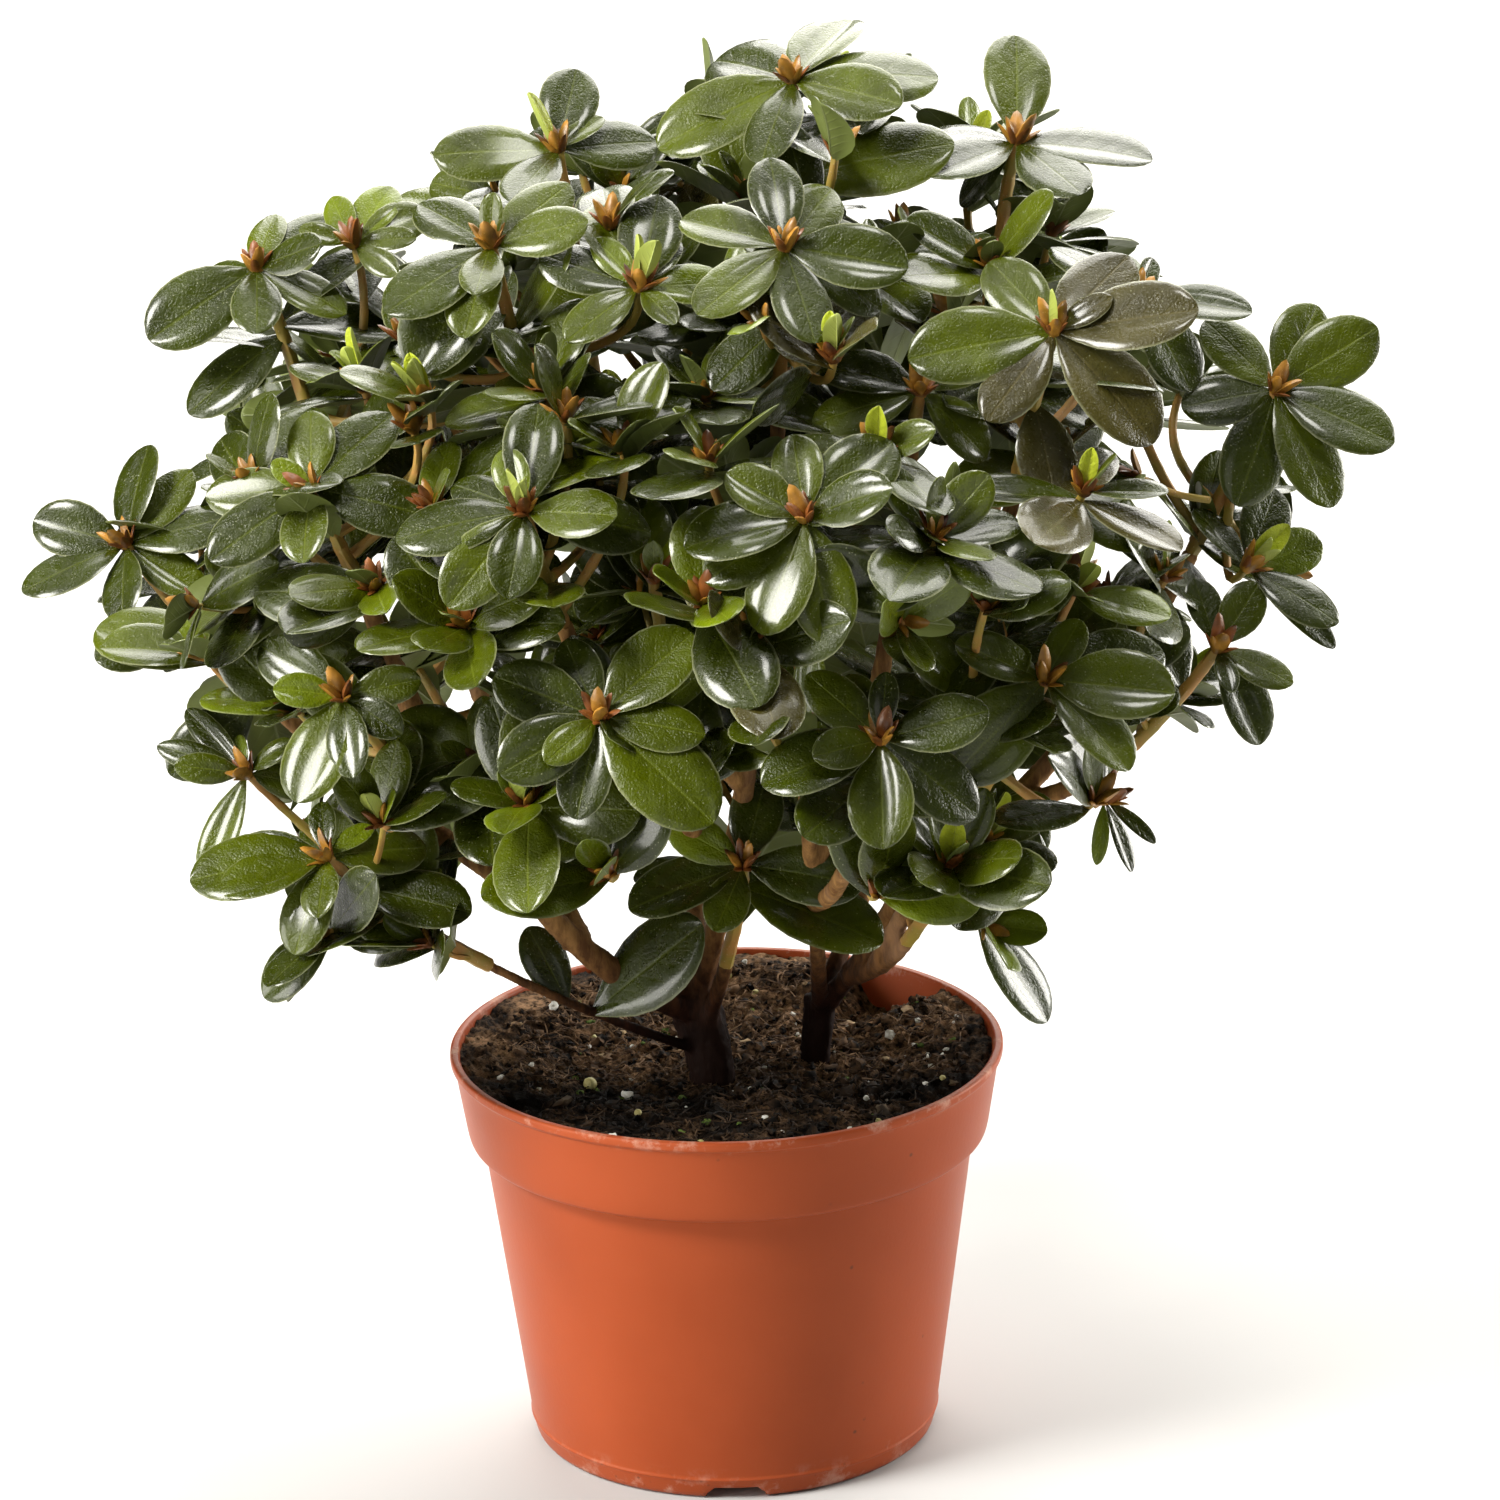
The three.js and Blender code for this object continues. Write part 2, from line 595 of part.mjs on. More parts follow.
const random = seeded(GROWTH_SEED);
const taken = MASSES.map((mass) => point(mass.tip));
for (const mass of MASSES) {
  addMesh(`foliage_${mass.name}`, massSolid(mass, tipsOf(mass, taken), random), MATERIALS.leaf);
}

export default azalea;
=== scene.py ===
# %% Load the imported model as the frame
import math

import bmesh
import bpy
import numpy as np
from mathutils import Matrix, Vector, noise


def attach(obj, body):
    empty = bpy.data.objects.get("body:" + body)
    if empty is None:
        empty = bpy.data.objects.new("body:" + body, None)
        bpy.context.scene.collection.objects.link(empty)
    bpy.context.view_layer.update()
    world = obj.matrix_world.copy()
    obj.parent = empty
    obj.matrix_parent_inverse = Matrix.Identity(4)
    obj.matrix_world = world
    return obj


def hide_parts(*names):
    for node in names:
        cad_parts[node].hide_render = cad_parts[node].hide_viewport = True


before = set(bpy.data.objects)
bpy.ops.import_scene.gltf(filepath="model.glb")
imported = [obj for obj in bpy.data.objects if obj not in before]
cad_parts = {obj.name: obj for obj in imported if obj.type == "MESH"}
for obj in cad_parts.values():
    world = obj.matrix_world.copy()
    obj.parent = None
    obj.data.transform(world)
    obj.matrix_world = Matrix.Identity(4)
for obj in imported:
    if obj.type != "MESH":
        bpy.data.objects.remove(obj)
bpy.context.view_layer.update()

nodes = sorted(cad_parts)
foliage_nodes = [n for n in nodes if n.startswith("foliage_")]
limb_nodes = [n for n in nodes if n.startswith(("bough_", "trunk_"))]
print("nodes:", len(nodes), "foliage:", len(foliage_nodes), "limbs:", len(limb_nodes))

# %% [markdown]
# # A potted azalea
# This lesson dresses a small evergreen azalea: a plastic grower's pot, peaty soil, two short trunks
# with their boughs, and a crown of glossy leaves that sit in rosettes at the ends of the shoots.
# Lengths are worked out in millimetres, as a gardener would measure them, and are divided by 1000
# at the last moment, because Blender counts in metres.
#
# First come a few helpers. A plant has thousands of small things, so meshes are filled from numpy
# arrays in one go. That is far quicker than adding one leaf object at a time.

# %% Helpers for vectors
UP = np.array([0.0, 0.0, 1.0])
MM = 1000  # millimetres in Blender's metre
FULL_TURN = 2 * math.pi
GOLDEN_ANGLE = 2.4  # in radians, from one leaf or scale round the stem to the next


def unit(v):
    v = np.asarray(v, float)
    return v / max(np.linalg.norm(v), 1e-12)


def turned(v, axis, angle):
    """v turned round the unit vector axis."""
    along_axis = axis * (v @ axis) * (1 - math.cos(angle))
    return v * math.cos(angle) + np.cross(axis, v) * math.sin(angle) + along_axis


def beside(axis):
    """One fixed direction square to a shoot's axis, from which turns round it are counted."""
    return unit(np.cross(axis, [0.31, 1.0, 0.17]))


def circle(radius, height, angles):
    """Points round the pot's axis."""
    return np.stack([radius * np.cos(angles), radius * np.sin(angles), height], -1)


print("square to up:", beside(UP).round(2))


# %% Helpers for meshes
def shade_smooth(mesh):
    mesh.polygons.foreach_set("use_smooth", np.ones(len(mesh.polygons), bool))


def add_to_scene(name, data):
    obj = bpy.data.objects.new(name, data)
    bpy.context.scene.collection.objects.link(obj)
    return obj


def with_modifiers(obj):
    """A new mesh of the object as its modifiers leave it. The modifiers then go."""
    made = bpy.data.meshes.new_from_object(obj.evaluated_get(bpy.context.evaluated_depsgraph_get()))
    obj.modifiers.clear()
    obj.data = made
    return made


def piece(name, verts_mm, faces, materials, stands_for, face_slots=None, uv=None, sharp=50):
    """One smooth-shaded object, sharp over an angle in degrees. faces: (n, 3) and (n, 4) index arrays."""
    mesh = bpy.data.meshes.new(name)
    faces = [np.asarray(f, np.int32) for f in faces if len(f)]
    loops = np.concatenate([f.ravel() for f in faces])
    sizes = np.concatenate([np.full(len(f), f.shape[1]) for f in faces])
    mesh.vertices.add(len(verts_mm))
    mesh.vertices.foreach_set("co", (np.asarray(verts_mm, np.float32) / MM).ravel())
    mesh.loops.add(len(loops))
    mesh.loops.foreach_set("vertex_index", loops)
    mesh.polygons.add(len(sizes))
    starts = np.concatenate([[0], np.cumsum(sizes)[:-1]])
    mesh.polygons.foreach_set("loop_start", starts.astype(np.int32))
    if face_slots is not None:
        mesh.polygons.foreach_set("material_index", np.asarray(face_slots, np.int32))
    mesh.update(calc_edges=True)
    if uv is not None:
        layer = mesh.uv_layers.new(name="UVMap")
        layer.data.foreach_set("uv", np.asarray(uv, np.float32)[loops].ravel())
    shade_smooth(mesh)
    mesh.set_sharp_from_angle(angle=math.radians(sharp))
    obj = add_to_scene(name, mesh)
    for material in materials:
        mesh.materials.append(material)
    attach(obj, "root")
    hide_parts(*stands_for)
    print(f"{name}: {len(verts_mm)} vertices, {int((sizes - 2).sum())} triangles")
    return obj


print("each piece rides the root body and stands for the solids that it covers")

# %% [markdown]
# ## The camera
# The lens looks along +Y from a little above, from far enough away that the pot's rim and foot keep
# the same proportions. The camera's own axes are worked out as three unit vectors: right, up and
# back. A slight roll is part of the view, so right and up are turned a little round the back axis.

# %% Camera
AIM = np.array([7.1, 0.0, 168.3])
DISTANCE = 1800.0
ELEVATION = math.radians(18.75)
ROLL = math.radians(-1.3)
PIXELS_PER_MM, FRAME_PIXELS = 4.31, 1500  # scale of the square frame at the point looked at
FOCAL_IN_FRAMES = PIXELS_PER_MM * DISTANCE / FRAME_PIXELS  # focal length over the frame's width
SENSOR = 36

back = np.array([0.0, -math.cos(ELEVATION), math.sin(ELEVATION)])
right = unit(np.cross(-back, UP))
above = np.cross(right, -back)
right, above = (
    right * math.cos(ROLL) + above * math.sin(ROLL),
    above * math.cos(ROLL) - right * math.sin(ROLL),
)
lens = bpy.data.cameras.new("camera")
lens.sensor_width = SENSOR
lens.lens = SENSOR * FOCAL_IN_FRAMES
lens.clip_end = 50
camera = add_to_scene("camera", lens)
placed = np.eye(4)
placed[:3, 0], placed[:3, 1], placed[:3, 2] = right, above, back
placed[:3, 3] = (AIM + back * DISTANCE) / MM
camera.matrix_world = Matrix(placed.tolist())
bpy.context.scene.camera = camera
print("lens:", round(lens.lens, 1), "mm")


def in_view(points):
    """Where points appear in the frame, in mm at the plant's distance, and how far away they are."""
    ray = np.atleast_2d(points) - (AIM + back * DISTANCE)
    away = -(ray @ back)
    return np.stack([ray @ right, ray @ above], 1) * (DISTANCE / away)[:, None], away

# %% [markdown]
# ## The growth rule
# Real azaleas branch by habit: each year's shoot forks just below the last year's bud, turns up to
# the light, and ends in a new rosette. The rule here is the one that made the solid model: each row
# names one mass of foliage, where its leading shoot ends, how many shoots it has, and the limb that
# its bough leaves. Almost everything else follows from these few numbers.

# %% The plant's table of boughs and masses
SOIL_LEVEL = 89.5
CLEARANCE = 0.3  # between the trunks' foot and the soil, and between a mass and its bough
HEART = np.array([5.0, 0.0, 185.0])  # the point that the whole crown grows away from
CROWN_FLOOR = 103.0
STEM_RADIUS, BOUGH_TIP_RADIUS = 1.7, 2.3 * 0.85
BUD_BELOW = 4.0  # how far below a shoot's tip it turns up to the light
PLACES = [(33, 9), (26, 7), (28, 22), (20, 30)]  # reach and drop of the places tried for a side shoot
TRUNKS = {
    "trunk_left": dict(foot=(-3, -9), lean=(-4.5, 1.5, 22), radius=5.5, fork=5.9),
    "trunk_right": dict(foot=(21, 1), lean=(1.5, 0, 17), radius=3.6, fork=3.8),
}
# name: tip, shoots, limb that the bough leaves, how far along it, bough radius, how steeply it leaves
MASSES = {
    "left_shoulder": ((-87, -68, 252), 6, "trunk_left", 0.8, 4.2, 0.45),
    "upper_middle": ((17, -60, 302), 6, "trunk_left", 0.92, 3.6, 1.5),
    "back_middle": ((-6, 115, 240), 6, "trunk_left", 0.85, 3.2, 1.0),
    "front_low": ((5, -42, 154), 4, "trunk_left", 0.6, 2.6, 0.9),
    "lower_left": ((-87, -55, 162), 4, "trunk_left", 0.3, 1.9, 0.5),
    "centre": ((20, -108, 255), 6, "trunk_right", 0.75, 2.4, 1.1),
    "back_right": ((84, 84, 256), 6, "trunk_right", 0.9, 2.8, 1.2),
    "right_shoulder": ((75, -65, 283), 6, "trunk_right", 0.85, 3.1, 0.9),
    "far_left": ((-133, -6, 221), 5, "left_shoulder", 0.42, 2.8, 0.5),
    "upper_left": ((-101, -8, 286), 5, "left_shoulder", 0.55, 2.6, 0.9),
    "left_low": ((-81, -80, 208), 5, "left_shoulder", 0.66, 2.3, 0.2),
    "back_left": ((-88, 78, 254), 6, "left_shoulder", 0.28, 3.0, 0.9),
    "back_low_left": ((-84, 70, 186), 5, "back_left", 0.3, 2.3, 0.2),
    "left_of_top": ((-47, -46, 300), 5, "upper_middle", 0.42, 2.7, 0.9),
    "top": ((20, 2, 324), 5, "upper_middle", 0.6, 2.6, 1.5),
    "top_left": ((-33, 6, 308), 4, "left_of_top", 0.35, 2.4, 1.5),
    "centre_left": ((-40, -98, 255), 6, "upper_middle", 0.28, 2.7, 0.7),
    "back_top": ((2, 66, 299), 6, "back_middle", 0.4, 2.6, 1.4),
    "mid_front": ((-13, -82, 234), 4, "centre_left", 0.25, 2.2, 1.1),
    "front_left": ((-25, -110, 212), 5, "centre_left", 0.4, 2.2, 0.3),
    "right_middle": ((46, -58, 268), 4, "centre", 0.45, 2.2, 1.5),
    "front_middle": ((35, -112, 206), 5, "centre", 0.35, 2.3, 0.3),
    "far_right": ((126, -22, 256), 5, "right_shoulder", 0.34, 2.7, 0.5),
    "top_right": ((70, 8, 307), 5, "back_right", 0.4, 2.5, 1.4),
    "right_tip": ((111, -48, 204), 5, "far_right", 0.28, 2.2, 0.2),
    "low_right": ((58, -56, 164), 4, "right_shoulder", 0.1, 2.5, 0.3),
    "right_low": ((71, -92, 212), 5, "low_right", 0.45, 2.3, 1.4),
    "back_low_right": ((84, 62, 186), 5, "back_right", 0.22, 2.3, 0.2),
}
print("masses:", len(MASSES), "shoots asked for:", sum(row[1] for row in MASSES.values()))


# %% Side shoots with a place of their own
# Shoots that stand out on this plant; the growth rule finds the places of the others.
KNOWN_TIPS = {
    "upper_left": [(-80, -5, 293)],
    "left_of_top": [(-36, -62, 274)],
    "far_right": [(97, -15, 279)],
    "centre_left": [(-19, -85, 267)],
    "left_shoulder": [(-102, -60, 254)],
    "centre": [(48, -105, 252)],
    "right_tip": [(101, -50, 224), (87, -45, 170)],
    "upper_middle": [(36, -40, 293)],
    "right_low": [(59, -100, 234)],
    "far_left": [(-115, -45, 209)],
    "front_left": [(-39, -85, 183), (-6, -95, 193)],
    "lower_left": [(-67, -50, 141)],
}
# Finer shoots that stand right at the edge of their mass's space, so they come on top of its count.
EDGE_TIPS = {
    "left_of_top": [(-15, -55, 295)],
    "far_right": [(120, -35, 221)],
    "centre_left": [(-61, -85, 255)],
    "left_shoulder": [(-62, -62, 272)],
    "front_middle": [(11, -120, 219)],
    "lower_left": [(-107, -40, 179)],
}
THIN_TIPS = {(87.0, -45.0, 170.0), (-67.0, -50.0, 141.0)}  # weak shoots, little more than threads
print("known side shoots:", sum(map(len, KNOWN_TIPS.values())), "and", len(EDGE_TIPS), "at an edge")

# %% [markdown]
# A limb is a line through space that knows its own length. Keeping it as a dense chain of points
# makes every later question easy: where is it at 40% of its length, and which way does it point?


# %% Lines that know their length
class Line:
    """A smooth line as a dense chain of points, asked for by share of its length."""

    def __init__(self, points):
        self.points = np.asarray(points, float)
        steps = np.linalg.norm(np.diff(self.points, axis=0), axis=1)
        self.marks = np.concatenate([[0], np.cumsum(steps)])
        self.length = self.marks[-1]

    def at(self, share):
        s = np.clip(share, 0, 1) * self.length
        return np.array([np.interp(s, self.marks, self.points[:, k]) for k in range(3)]).T

    def direction(self, share):
        return unit(self.at(min(share + 0.02, 1)) - self.at(max(share - 0.02, 0)))

    def stretch(self, start, end):
        return Line(self.at(np.linspace(start, end, 60)))


def bend(*controls):
    """A Bezier curve of any degree as a Line."""
    t = np.linspace(0, 1, 90)[:, None]
    n = len(controls) - 1
    weights = [math.comb(n, k) * t**k * (1 - t) ** (n - k) for k in range(n + 1)]
    return Line(sum(weight * np.asarray(c, float) for weight, c in zip(weights, controls)))


print("a straight line of 10 mm:", round(float(bend((0, 0, 0), (0, 0, 10)).length), 2), "mm")


# %% The space of each mass
def outward(at):
    return unit(np.asarray(at, float) - HEART)


def tip_axis(at):
    return unit(outward(at) * 0.6 + UP * 0.75)


SITE_BELOW = 18  # a mass's middle lies this far in from the tip of its leading shoot
site_names = list(MASSES)
sites = np.array([np.array(row[0], float) - outward(row[0]) * SITE_BELOW for row in MASSES.values()])


def depth_in(name, at):
    """How far points lie inside a mass's own space: all that is nearer to its site than to others."""
    k = site_names.index(name)
    others = np.delete(sites, k, axis=0)
    at = np.atleast_2d(at)
    far = ((at[:, None] - others[None]) ** 2).sum(2) - ((at - sites[k]) ** 2).sum(1)[:, None]
    return (far / (2 * np.linalg.norm(others - sites[k], axis=1))[None]).min(1)


nearest_site = int(np.linalg.norm(sites - HEART, axis=1).argmin())
print("sites:", len(sites), "the one nearest to the heart:", site_names[nearest_site])


# %% Grow the limbs
MASS_DEPTH = 52  # a bough ends at most this far before the tip of its mass's leading shoot
STEPS = 60


def run_of(tip, parent, along, rise):
    """The line of a bough and of the leading shoot that goes on from it."""
    start = parent.at(along)
    tip = np.asarray(tip, float)
    span = np.linalg.norm(tip - start)
    leave = unit(unit((tip - start) * [1, 1, 0]) + UP * rise)
    return bend(start, start + leave * span * 0.35, tip - tip_axis(tip) * span * 0.3, tip)


def mouth_of(name, run):
    """The share of a run at which it enters its mass's space for good."""
    mouth = max(1 - MASS_DEPTH / run.length, 0.4)
    for share in np.arange(0, STEPS + 1) / STEPS:
        if share > mouth and depth_in(name, run.at(share))[0] < STEM_RADIUS + CLEARANCE:
            mouth = share
    return min(mouth + 1 / STEPS, 0.9)


limbs, runs, mouths = {}, {}, {}
for name, row in TRUNKS.items():
    start = np.array([*row["foot"], SOIL_LEVEL + CLEARANCE])
    end = start + row["lean"]
    curve = bend(start, start + [0, 0, 6], (start + end) / 2 + [0.6, 0, 0], end)
    limbs[name] = (curve, row["radius"], row["fork"], None)
for name, (tip, _, parent, along, radius, rise) in MASSES.items():
    runs[name] = run_of(tip, limbs[parent][0], along, rise)
    mouths[name] = mouth_of(name, runs[name])
    limbs[name] = (runs[name].stretch(0, mouths[name]), radius, BOUGH_TIP_RADIUS, parent)
print("wood:", round(sum(limb[0].length for limb in limbs.values()) / MM, 2), "m of trunks and boughs")

# %% [markdown]
# ## Shoots
# Each mass has one leading shoot and a few that fork from it. The places for these are tried all
# round the leading tip, and the roomiest is taken each time, which is much what light does to a real
# bush. On top of that rule come finer side twigs, one year old, that carry small rosettes and fill
# the inside of the crown.
#
# No twig or leaf may cut the wood, and this plant has openings in its crown that sky shows through.
# So the wood is kept as a cloud of points with radii, and the openings as circles seen from the
# front, and whatever grows is tested against both.


# %% Keep clear of the wood
def limb_cloud():
    """Points along every limb with the radius there, to keep leaves and twigs off the wood."""
    points, radii = [], []
    for curve, r0, r1, _ in limbs.values():
        share = np.linspace(0, 1, max(4, int(curve.length / 3)))
        points.append(curve.at(share))
        radii.append(r0 + (r1 - r0) * share**0.8)
    return np.concatenate(points), np.concatenate(radii)


def clear_of_wood(points, gap):
    d = np.linalg.norm(points[:, None] - wood_points[None], axis=2) - wood_radii[None]
    return d.min() > gap


wood_points, wood_radii = limb_cloud()
print("points along the wood:", len(wood_points))

# %% Keep the openings of the crown
# Each row is place across, place up and radius, as seen from the front.
OPEN_AIR = np.array([
    (108, 129, 16), (-26, 162, 12), (126, 113, 11), (81, -36, 10), (-143, 82, 9), (105, -13, 10),
    (141, 46, 9), (50, 168, 10), (91, 129, 8), (129, 20, 8), (77, 155, 7), (-142, 11, 7), (-55, 152, 7),
    (-80, 141, 7), (49, 158, 7), (97, -7, 7), (146, 62, 6), (-136, 75, 7), (-132, -15, 7), (48, -47, 6),
    (97, 68, 6), (-29, 151, 6), (-113, -41, 6), (-60, -48, 5), (132, 47, 5), (97, -22, 5), (120, 102, 5),
    (90, 70, 4), (103, 70, 4), (84, 132, 4), (-76, 135, 4), (78, -26, 4), (71, -35, 4), (110, -4, 6),
    (112, 5, 4), (86, 72, 3), (101, 118, 7), (123, 5, 7), (125, 25, 6), (-130, 75, 5), (8, -40, 5),
    (91, -4, 5), (-126, -34, 5), (80, 42, 5), (-121, -38, 4), (-34, -34, 4), (-135, 91, 4), (39, 130, 4),
    (-135, 14, 4), (31, 127, 4), (53, 125, 4), (106, 71, 4), (-31, 90, 4), (-77, 119, 4), (70, -7, 4),
    (137, 32, 4), (-110, -18, 4), (138, 100, 4), (142, 82, 4), (37, 154, 4), (-30, 147, 4), (-15, 159, 4),
    (-95, -58, 9), (-79, -61.5, 7.5), (-70, -60, 6.5), (-64, -56, 6), (46, 128, 4), (90, 2, 3),
    (76, -22, 3), (-110, 92, 3), (-69, 13, 3), (-85, 45, 3),
])


def in_open_air(points):
    place, _ = in_view(points)
    distance = np.linalg.norm(place[:, None] - OPEN_AIR[None, :, :2], axis=2)
    return bool((distance < OPEN_AIR[:, 2] - 0.5).any())


EDGE_ON = 8.0  # a blade that looks smaller than about this, in mm2, hides no opening
print("openings:", len(OPEN_AIR))

# %% Grow the shoots
WAYS_ROUND = 24
THIN_RADIUS, SIDE_RADIUS = 0.7, 1.05


def tips_of(name, taken):
    """Where a mass's shoots end: the leading one, the known ones, and then the roomiest places."""
    lead = np.array(MASSES[name][0], float)
    axis = outward(lead)
    side = unit(np.cross(axis, UP))
    tips = [lead] + [np.array(tip, float) for tip in KNOWN_TIPS.get(name, ())]
    taken.extend(tips[1:])
    while len(tips) < MASSES[name][1]:
        best = None
        for i in range(WAYS_ROUND):
            away = turned(side, axis, i * FULL_TURN / WAYS_ROUND)
            for reach, drop in PLACES:
                at = lead + away * reach - axis * drop
                room = np.linalg.norm(np.array(taken) - at, axis=1).min()
                roomier = best is None or room > best[0]
                if roomier and at[2] > CROWN_FLOOR + 12 and depth_in(name, at)[0] > 8:
                    best = (room, at)
        if best is None:
            break
        tips.append(best[1])
        taken.append(best[1])
    return tips + [np.array(tip, float) for tip in EDGE_TIPS.get(name, ())]


class Shoot:
    """One twig and what its tip carries."""

    def __init__(self, mass, line, radius, vigour):
        self.mass, self.line, self.radius, self.vigour = mass, line, radius, vigour
        self.tip = line.at(1.0)
        self.axis = line.direction(1.0)
        self.leaves = []  # each leaf's colour and corners


taken = [np.array(row[0], float) for row in MASSES.values()]
shoots = []
for name in MASSES:
    tips = tips_of(name, taken)
    stem = runs[name].stretch(mouths[name], 1)
    stem = Line(np.concatenate([stem.points, [tips[0] + tip_axis(tips[0]) * 3]]))
    shoots.append(Shoot(name, stem, STEM_RADIUS, 1.0))
    for i, tip in enumerate(tips[1:]):
        fork = stem.at(min(0.1 + 0.1 * i, 0.6))
        axis = tip_axis(tip)
        heel = tip - axis * BUD_BELOW
        line = bend(fork, heel - axis * 0.4 * np.linalg.norm(fork - heel), tip)
        known = i < len(KNOWN_TIPS.get(name, ())) or i + 1 >= len(tips) - len(EDGE_TIPS.get(name, ()))
        if known or (clear_of_wood(line.points[12:], 1.0) and not in_open_air(line.points[-20:])):
            radius = THIN_RADIUS if tuple(tip) in THIN_TIPS else STEM_RADIUS * 0.9
            shoots.append(Shoot(name, line, radius, 0.95))
leading = len(shoots)
print("shoots:", leading)

# %% Finer side twigs
luck = np.random.default_rng(7)
SIDE_TWIG = dict(shares=(0.35, 0.55, 0.75), length=(14, 24), room=17.0, parent_length=26)
for parent in shoots[:leading]:
    if parent.line.length < SIDE_TWIG["parent_length"]:
        continue
    turn = luck.uniform(0, FULL_TURN)
    for share in SIDE_TWIG["shares"]:
        turn += GOLDEN_ANGLE + luck.uniform(-0.3, 0.3)
        along = parent.line.direction(share)
        side = turned(unit(np.cross(along, [0.3, 1, 0.2])), along, turn)
        start = parent.line.at(share)
        tip = start + unit(side + along * 0.7 + UP * 0.25) * luck.uniform(*SIDE_TWIG["length"])
        room = min(np.linalg.norm(s.tip - tip) for s in shoots)
        if room < SIDE_TWIG["room"] or depth_in(parent.mass, tip)[0] < 1 or tip[2] < CROWN_FLOOR + 10:
            continue
        if in_open_air(np.linspace(start, tip, 5)):
            continue
        line = bend(start, start + (tip - start) * 0.6 - tip_axis(tip) * 3, tip)
        if clear_of_wood(line.points[30:], 1.5):
            shoots.append(Shoot(parent.mass, line, SIDE_RADIUS, 0.7))
print("side twigs:", len(shoots) - leading)

# %% [markdown]
# ## One leaf
# An azalea leaf is a thin oval blade, widest past its middle, with a blunt tip, a sunken midrib and a
# margin that rolls down a little. A flat card with a picture would have no thickness and no true
# edge, so each leaf here is a closed lens of two faces: a glossy upper one and a pale lower one that
# share the margin. All leaves are the same small grid of points, shaped by a few numbers, so each
# one is a few array sums, and thousands of them can be joined into one mesh.

# %% The leaf's grid
ROWS, COLUMNS = 10, 6
row_share = np.sin(np.linspace(0, 1, ROWS + 1) * math.pi / 2) ** 1.1
across = np.array([-1, -0.8, -0.4, 0, 0.4, 0.8, 1])
WIDEST = 0.56  # where along the blade it is widest


def half_width(t):
    """Outline of the blade as a share of its greatest half-width, from stalk to blunt tip."""
    rising = np.clip(1 - np.clip((WIDEST - t) / WIDEST, 0, 1) ** 2.0, 0, 1) ** 0.9
    falling = np.clip(1 - np.clip((t - WIDEST) / (1 - WIDEST), 0, 1) ** 2.2, 0, 1) ** 0.56
    return np.maximum(np.where(t < WIDEST, rising, falling), np.where(t < 0.5, 0.10, 0.06))


grid_t, grid_v = np.meshgrid(row_share, across, indexing="ij")
grid_w = half_width(grid_t)
inner = (grid_t > 0) & (grid_t < row_share[-1]) & (np.abs(grid_v) < 1)
top_index = np.arange(grid_t.size).reshape(grid_t.shape)
under_index = top_index.copy()
under_index[inner] = grid_t.size + np.arange(inner.sum())


def quads_of(index, flip):
    a, b, c, d = index[:-1, :-1], index[1:, :-1], index[1:, 1:], index[:-1, 1:]
    quads = np.stack([a, b, c, d], -1).reshape(-1, 4)
    return quads[:, ::-1] if flip else quads


LEAF_QUADS = np.concatenate([quads_of(top_index, False), quads_of(under_index, True)])
LEAF_SLOTS = np.concatenate([np.zeros(ROWS * COLUMNS, int), np.ones(ROWS * COLUMNS, int)])
LEAF_UV = np.stack([(grid_v * 0.5 + 0.5), grid_t], -1).reshape(-1, 2)
LEAF_UV = np.concatenate([LEAF_UV, LEAF_UV[inner.ravel()]])
print("one leaf:", len(LEAF_UV), "vertices,", 2 * len(LEAF_QUADS), "triangles")


# %% Shape one leaf
def leaf_points(root, along, face, length, width, curl, cup, wave):
    """Corners of one leaf: curl bends it along its length, cup lifts its margins above the midrib."""
    side = unit(np.cross(face, along))
    normal = np.cross(along, side)
    turn = curl * grid_t
    safe = curl if abs(curl) > 1e-3 else 1e-3
    forward = length * np.sin(turn) / safe
    sink = length * (1 - np.cos(turn)) / safe
    w = grid_w * width / 2
    v = np.abs(grid_v)
    ripple = wave * w * np.sin(grid_t * 5.0 + 2 * np.sign(grid_v)) * v * 0.08
    arch = w * ((0.24 + cup) * v - 0.10 * v**3 - 0.12 * v**8) + ripple
    lift = arch - sink
    forward = forward + arch * np.sin(turn)
    top = (
        root
        + forward[..., None] * along
        + (grid_v * w)[..., None] * side
        + lift[..., None] * normal
    ).reshape(-1, 3)
    thickness = 0.35 + 0.5 * (v < 0.1) * (1 - grid_t)
    under = (top.reshape(*grid_t.shape, 3) - thickness[..., None] * normal)[inner]
    return np.concatenate([top, under])


flat = leaf_points(np.zeros(3), np.array([1.0, 0, 0]), UP, 30.0, 17.0, 0.0, 0.0, 0.0)
print("a flat leaf of 30 by 17 mm is", round(float(np.ptp(flat[:, 2])), 1), "mm deep")

# %% [markdown]
# ## Rosettes
# At a shoot's tip the leaves come in layers. The oldest spread flat and are the largest, the next
# stand between them and rise, and the youngest hug the bud. Below the rosette, leaves are spaced
# round the stem by the golden angle, so that none shades the one beneath. Each leaf is tried in a
# few positions and kept in the first one where it meets no wood and no other leaf.

# %% Test points of a leaf
placed_points = np.zeros((0, 5, 3))
placed_middles = np.zeros((0, 3))
shown_places, shown_away = np.zeros((0, 2)), np.zeros(0)  # leaves that nothing may grow in front of
TESTED = [(0.4, 0.0), (0.7, 0.0), (0.97, 0.0), (0.6, 0.75), (0.6, -0.75)]  # along, and across
RIM = [(0.25, 0.7), (0.45, 0.95), (0.65, 1.0), (0.85, 0.8), (1.0, 0.0)]


